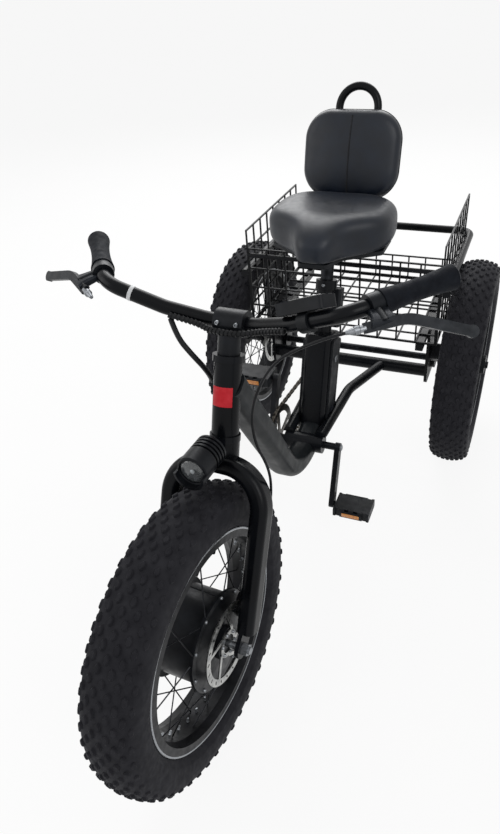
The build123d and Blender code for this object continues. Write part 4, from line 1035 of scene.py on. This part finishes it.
class TRICYCLE_OT_fasteners(bpy.types.Operator):
    """Drive in the screws, cap the cranks and fit the battery's lock and charge port"""

    bl_idname = "tricycle.fasteners"
    bl_label = "Fasteners"

    def execute(self, context):
        for wheel, (body, joint) in WHEELS.items():
            centre, axis = Vector(joint["pos_m"]), Vector(joint["axis"])
            place = aimed(centre, axis)
            screws = bmesh.new()
            low, high, middle = node_box(f"{wheel}_rotor")
            side = math.copysign(1, (middle - centre).dot(axis))
            face = abs((low.x if side < 0 else high.x) - centre.x) / MM
            if wheel == "front":
                face = MOTOR_DISC_FACE
            add_screw_ring(screws, place, side * face, *DISC_SCREWS, 2.8)
            if wheel == "front":
                for side in (1, -1):
                    add_screw_ring(screws, place, side * MOTOR_COVER_FACE, *COVER_SCREWS, 3.0)
            make_piece(f"{wheel}_wheel_screws", screws, "zinc", body)

        caps = bmesh.new()
        for side in (1, -1):
            add_screw(caps, spot(side * CRANK_FACE, CRANK_BACK, CRANK_HEIGHT), X_AXIS * side, 8.5, 4.0, 24)
        make_piece("crank_caps", caps, "zinc", "cranks")

        screws = bmesh.new()
        low, high, middle = node_box("front_caliper")
        for along in (-CALIPER_SCREW_OUT, CALIPER_SCREW_OUT):
            face = Vector((high.x - 0.0012, middle.y, middle.z)) + steer_up * along
            add_screw(screws, face, steer_across, 4.4, 3.6)
        make_piece("caliper_screws", screws, "zinc", "steering")

        lock = bmesh.new()
        turn_profile(lock, LOCK, aimed(mast(COVER_FACE, 0, LOCK_UP), X_AXIS), 32)
        collar = mast(0, COLLAR_FACE, COLLAR_UP)
        add_screw(lock, collar, mast(0, 1, 0) - mast(0, 0, 0), 4.5, 4.0, 20)
        make_piece("battery_lock", lock, "zinc", "frame")
        port = aimed(mast(COVER_FACE, 0, PORT_UP), X_AXIS)
        turned_piece("charge_port_cap", PORT_CAP, port, 32, "rubber", "frame")
        return {"FINISHED"}


# Stage


FLOOR_SIZE, FLOOR_GLOW, WORLD_FILL = 60.0, 0.9, 0.27
SOFTBOXES = (
    # name, place, target, size and watts
    ("key_softbox", (2.6, -2.6, 3.4), (0, 0, 0.5), 2.4, 62.0),
    ("fill_softbox", (-3.2, -1.6, 2.2), (0, 0, 0.5), 2.6, 32.0),
    ("top_softbox", (-0.9, 2.9, 2.9), (0, 0.2, 0.6), 3.0, 110.0),
)
CAMERA_PLACE = (0.45415, -1.19156, 1.32737)
CAMERA_AZIMUTH, CAMERA_ELEVATION, CAMERA_ROLL = (math.radians(angle) for angle in (23.71, 37.29, -4.3))


def seen_ray(tree):
    """One where a ray is seen: from the camera, in a gloss or through clear plastic."""
    ray = add_node(tree, "ShaderNodeLightPath").outputs
    seen = ray["Is Camera Ray"]
    for kind in ("Is Glossy Ray", "Is Transmission Ray"):
        seen = add_node(tree, "ShaderNodeMath", {0: seen, 1: ray[kind]}, operation="MAXIMUM").outputs[0]
    return seen


class TRICYCLE_OT_stage(bpy.types.Operator):
    """Set the pale floor, the soft lights and the camera"""

    bl_idname = "tricycle.stage"
    bl_label = "Stage"

    def execute(self, context):
        scene = context.scene
        scene.view_settings.view_transform = "Standard"
        mesh = bmesh.new()
        bmesh.ops.create_grid(mesh, x_segments=1, y_segments=1, size=FLOOR_SIZE)
        floor_mesh = bpy.data.meshes.new("studio_floor")
        mesh.to_mesh(floor_mesh)
        mesh.free()
        floor = bpy.data.objects.new("studio_floor", floor_mesh)
        scene.collection.objects.link(floor)
        paper = Finish("matt_paper_floor", Roughness=0.9, IOR=1.4)
        paper.feed("Base Color", paper.mottle(400.0, "#F4F4F4", "#F8F8F8"))
        # seen directly or in metal and glass, the paper glows nearly white and keeps a soft shadow
        seen = {0: seen_ray(paper.tree), 1: FLOOR_GLOW}
        share = add_node(paper.tree, "ShaderNodeMath", seen, operation="MULTIPLY")
        glow = add_node(paper.tree, "ShaderNodeEmission", {"Color": linear("#FFFFFF"), "Strength": 1.0})
        layers = {0: share.outputs[0], 1: paper.shader.outputs["BSDF"], 2: glow.outputs["Emission"]}
        mixed = add_node(paper.tree, "ShaderNodeMixShader", layers)
        paper.tree.links.new(mixed.outputs["Shader"], paper.output.inputs["Surface"])
        floor_mesh.materials.append(paper.material)

        world = bpy.data.worlds.new("studio")
        scene.world = world
        world.use_nodes = True
        tree = world.node_tree
        tree.nodes.clear()
        fill = {"Value": seen_ray(tree), "To Min": WORLD_FILL, "To Max": 1.0}
        level = add_node(tree, "ShaderNodeMapRange", fill).outputs["Result"]
        sky = add_node(tree, "ShaderNodeBackground", {"Color": linear("#FFFFFF"), "Strength": level})
        add_node(tree, "ShaderNodeOutputWorld", {"Surface": sky.outputs["Background"]})

        for name, place, target, size, watts in SOFTBOXES:
            light = bpy.data.lights.new(name, "AREA")
            light.size = size
            light.energy = watts
            lamp = bpy.data.objects.new(name, light)
            lamp.location = place
            lamp.rotation_euler = (Vector(target) - Vector(place)).to_track_quat("-Z", "Y").to_euler()
            scene.collection.objects.link(lamp)

        camera = bpy.data.cameras.new("photo_camera")
        camera.lens = 28.48
        camera.sensor_width = 36.0
        camera.shift_x = -0.0241
        camera.shift_y = 0.0231
        camera.clip_start = 0.05
        viewer = bpy.data.objects.new("photo_camera", camera)
        view = Matrix.Translation(CAMERA_PLACE)
        turns = ((CAMERA_AZIMUTH, "Z"), (math.pi / 2 - CAMERA_ELEVATION, "X"), (CAMERA_ROLL, "Z"))
        for angle, axis in turns:
            view = view @ Matrix.Rotation(angle, 4, axis)
        viewer.matrix_world = view
        scene.collection.objects.link(viewer)
        scene.camera = viewer
        return {"FINISHED"}


class TRICYCLE_OT_finishes(bpy.types.Operator):
    """Mix the finishes and put them on the frame's own pieces"""

    bl_idname = "tricycle.finishes"
    bl_label = "Finishes"

    def execute(self, context):
        make_finishes(context.scene.tricycle_colours)
        for finish, names in CAD_FINISH.items():
            for name in names.split():
                node = frame["nodes"][name]
                node.data.materials.clear()
                node.data.materials.append(finishes[finish])
        return {"FINISHED"}


class TRICYCLE_PT_panel(bpy.types.Panel):
    """The tricycle's sizes, colours and pieces in the sidebar"""

    bl_idname = "TRICYCLE_PT_panel"
    bl_label = "Tricycle"
    bl_space_type = "VIEW_3D"
    bl_region_type = "UI"
    bl_category = "Tricycle"

    def draw(self, context):
        for group in (context.scene.tricycle_sizes, context.scene.tricycle_colours):
            for key in group.__annotations__:
                self.layout.prop(group, key)
        for piece in PIECES:
            self.layout.operator(piece.bl_idname)


PIECES = (
    TRICYCLE_OT_finishes,
    TRICYCLE_OT_tyres,
    TRICYCLE_OT_wheel_trim,
    TRICYCLE_OT_seat,
    TRICYCLE_OT_cables,
    TRICYCLE_OT_bar_trim,
    TRICYCLE_OT_lamp_and_display,
    TRICYCLE_OT_drive,
    TRICYCLE_OT_fasteners,
    TRICYCLE_OT_stage,
)
CLASSES = (TricycleSizes, TricycleColours, *PIECES, TRICYCLE_PT_panel)


def register():
    """Register the classes and hang the two property groups on the scene."""
    for kind in CLASSES:
        bpy.utils.register_class(kind)
    bpy.types.Scene.tricycle_sizes = PointerProperty(type=TricycleSizes)
    bpy.types.Scene.tricycle_colours = PointerProperty(type=TricycleColours)


def unregister():
    """Take the property groups and the classes away again."""
    del bpy.types.Scene.tricycle_colours
    del bpy.types.Scene.tricycle_sizes
    for kind in reversed(CLASSES):
        bpy.utils.unregister_class(kind)


def main():
    """Register the classes and dress the tricycle, one piece after another."""
    register()
    for piece in PIECES:
        group, name = piece.bl_idname.split(".")
        getattr(getattr(bpy.ops, group), name)()


if __name__ == "__main__":
    main()
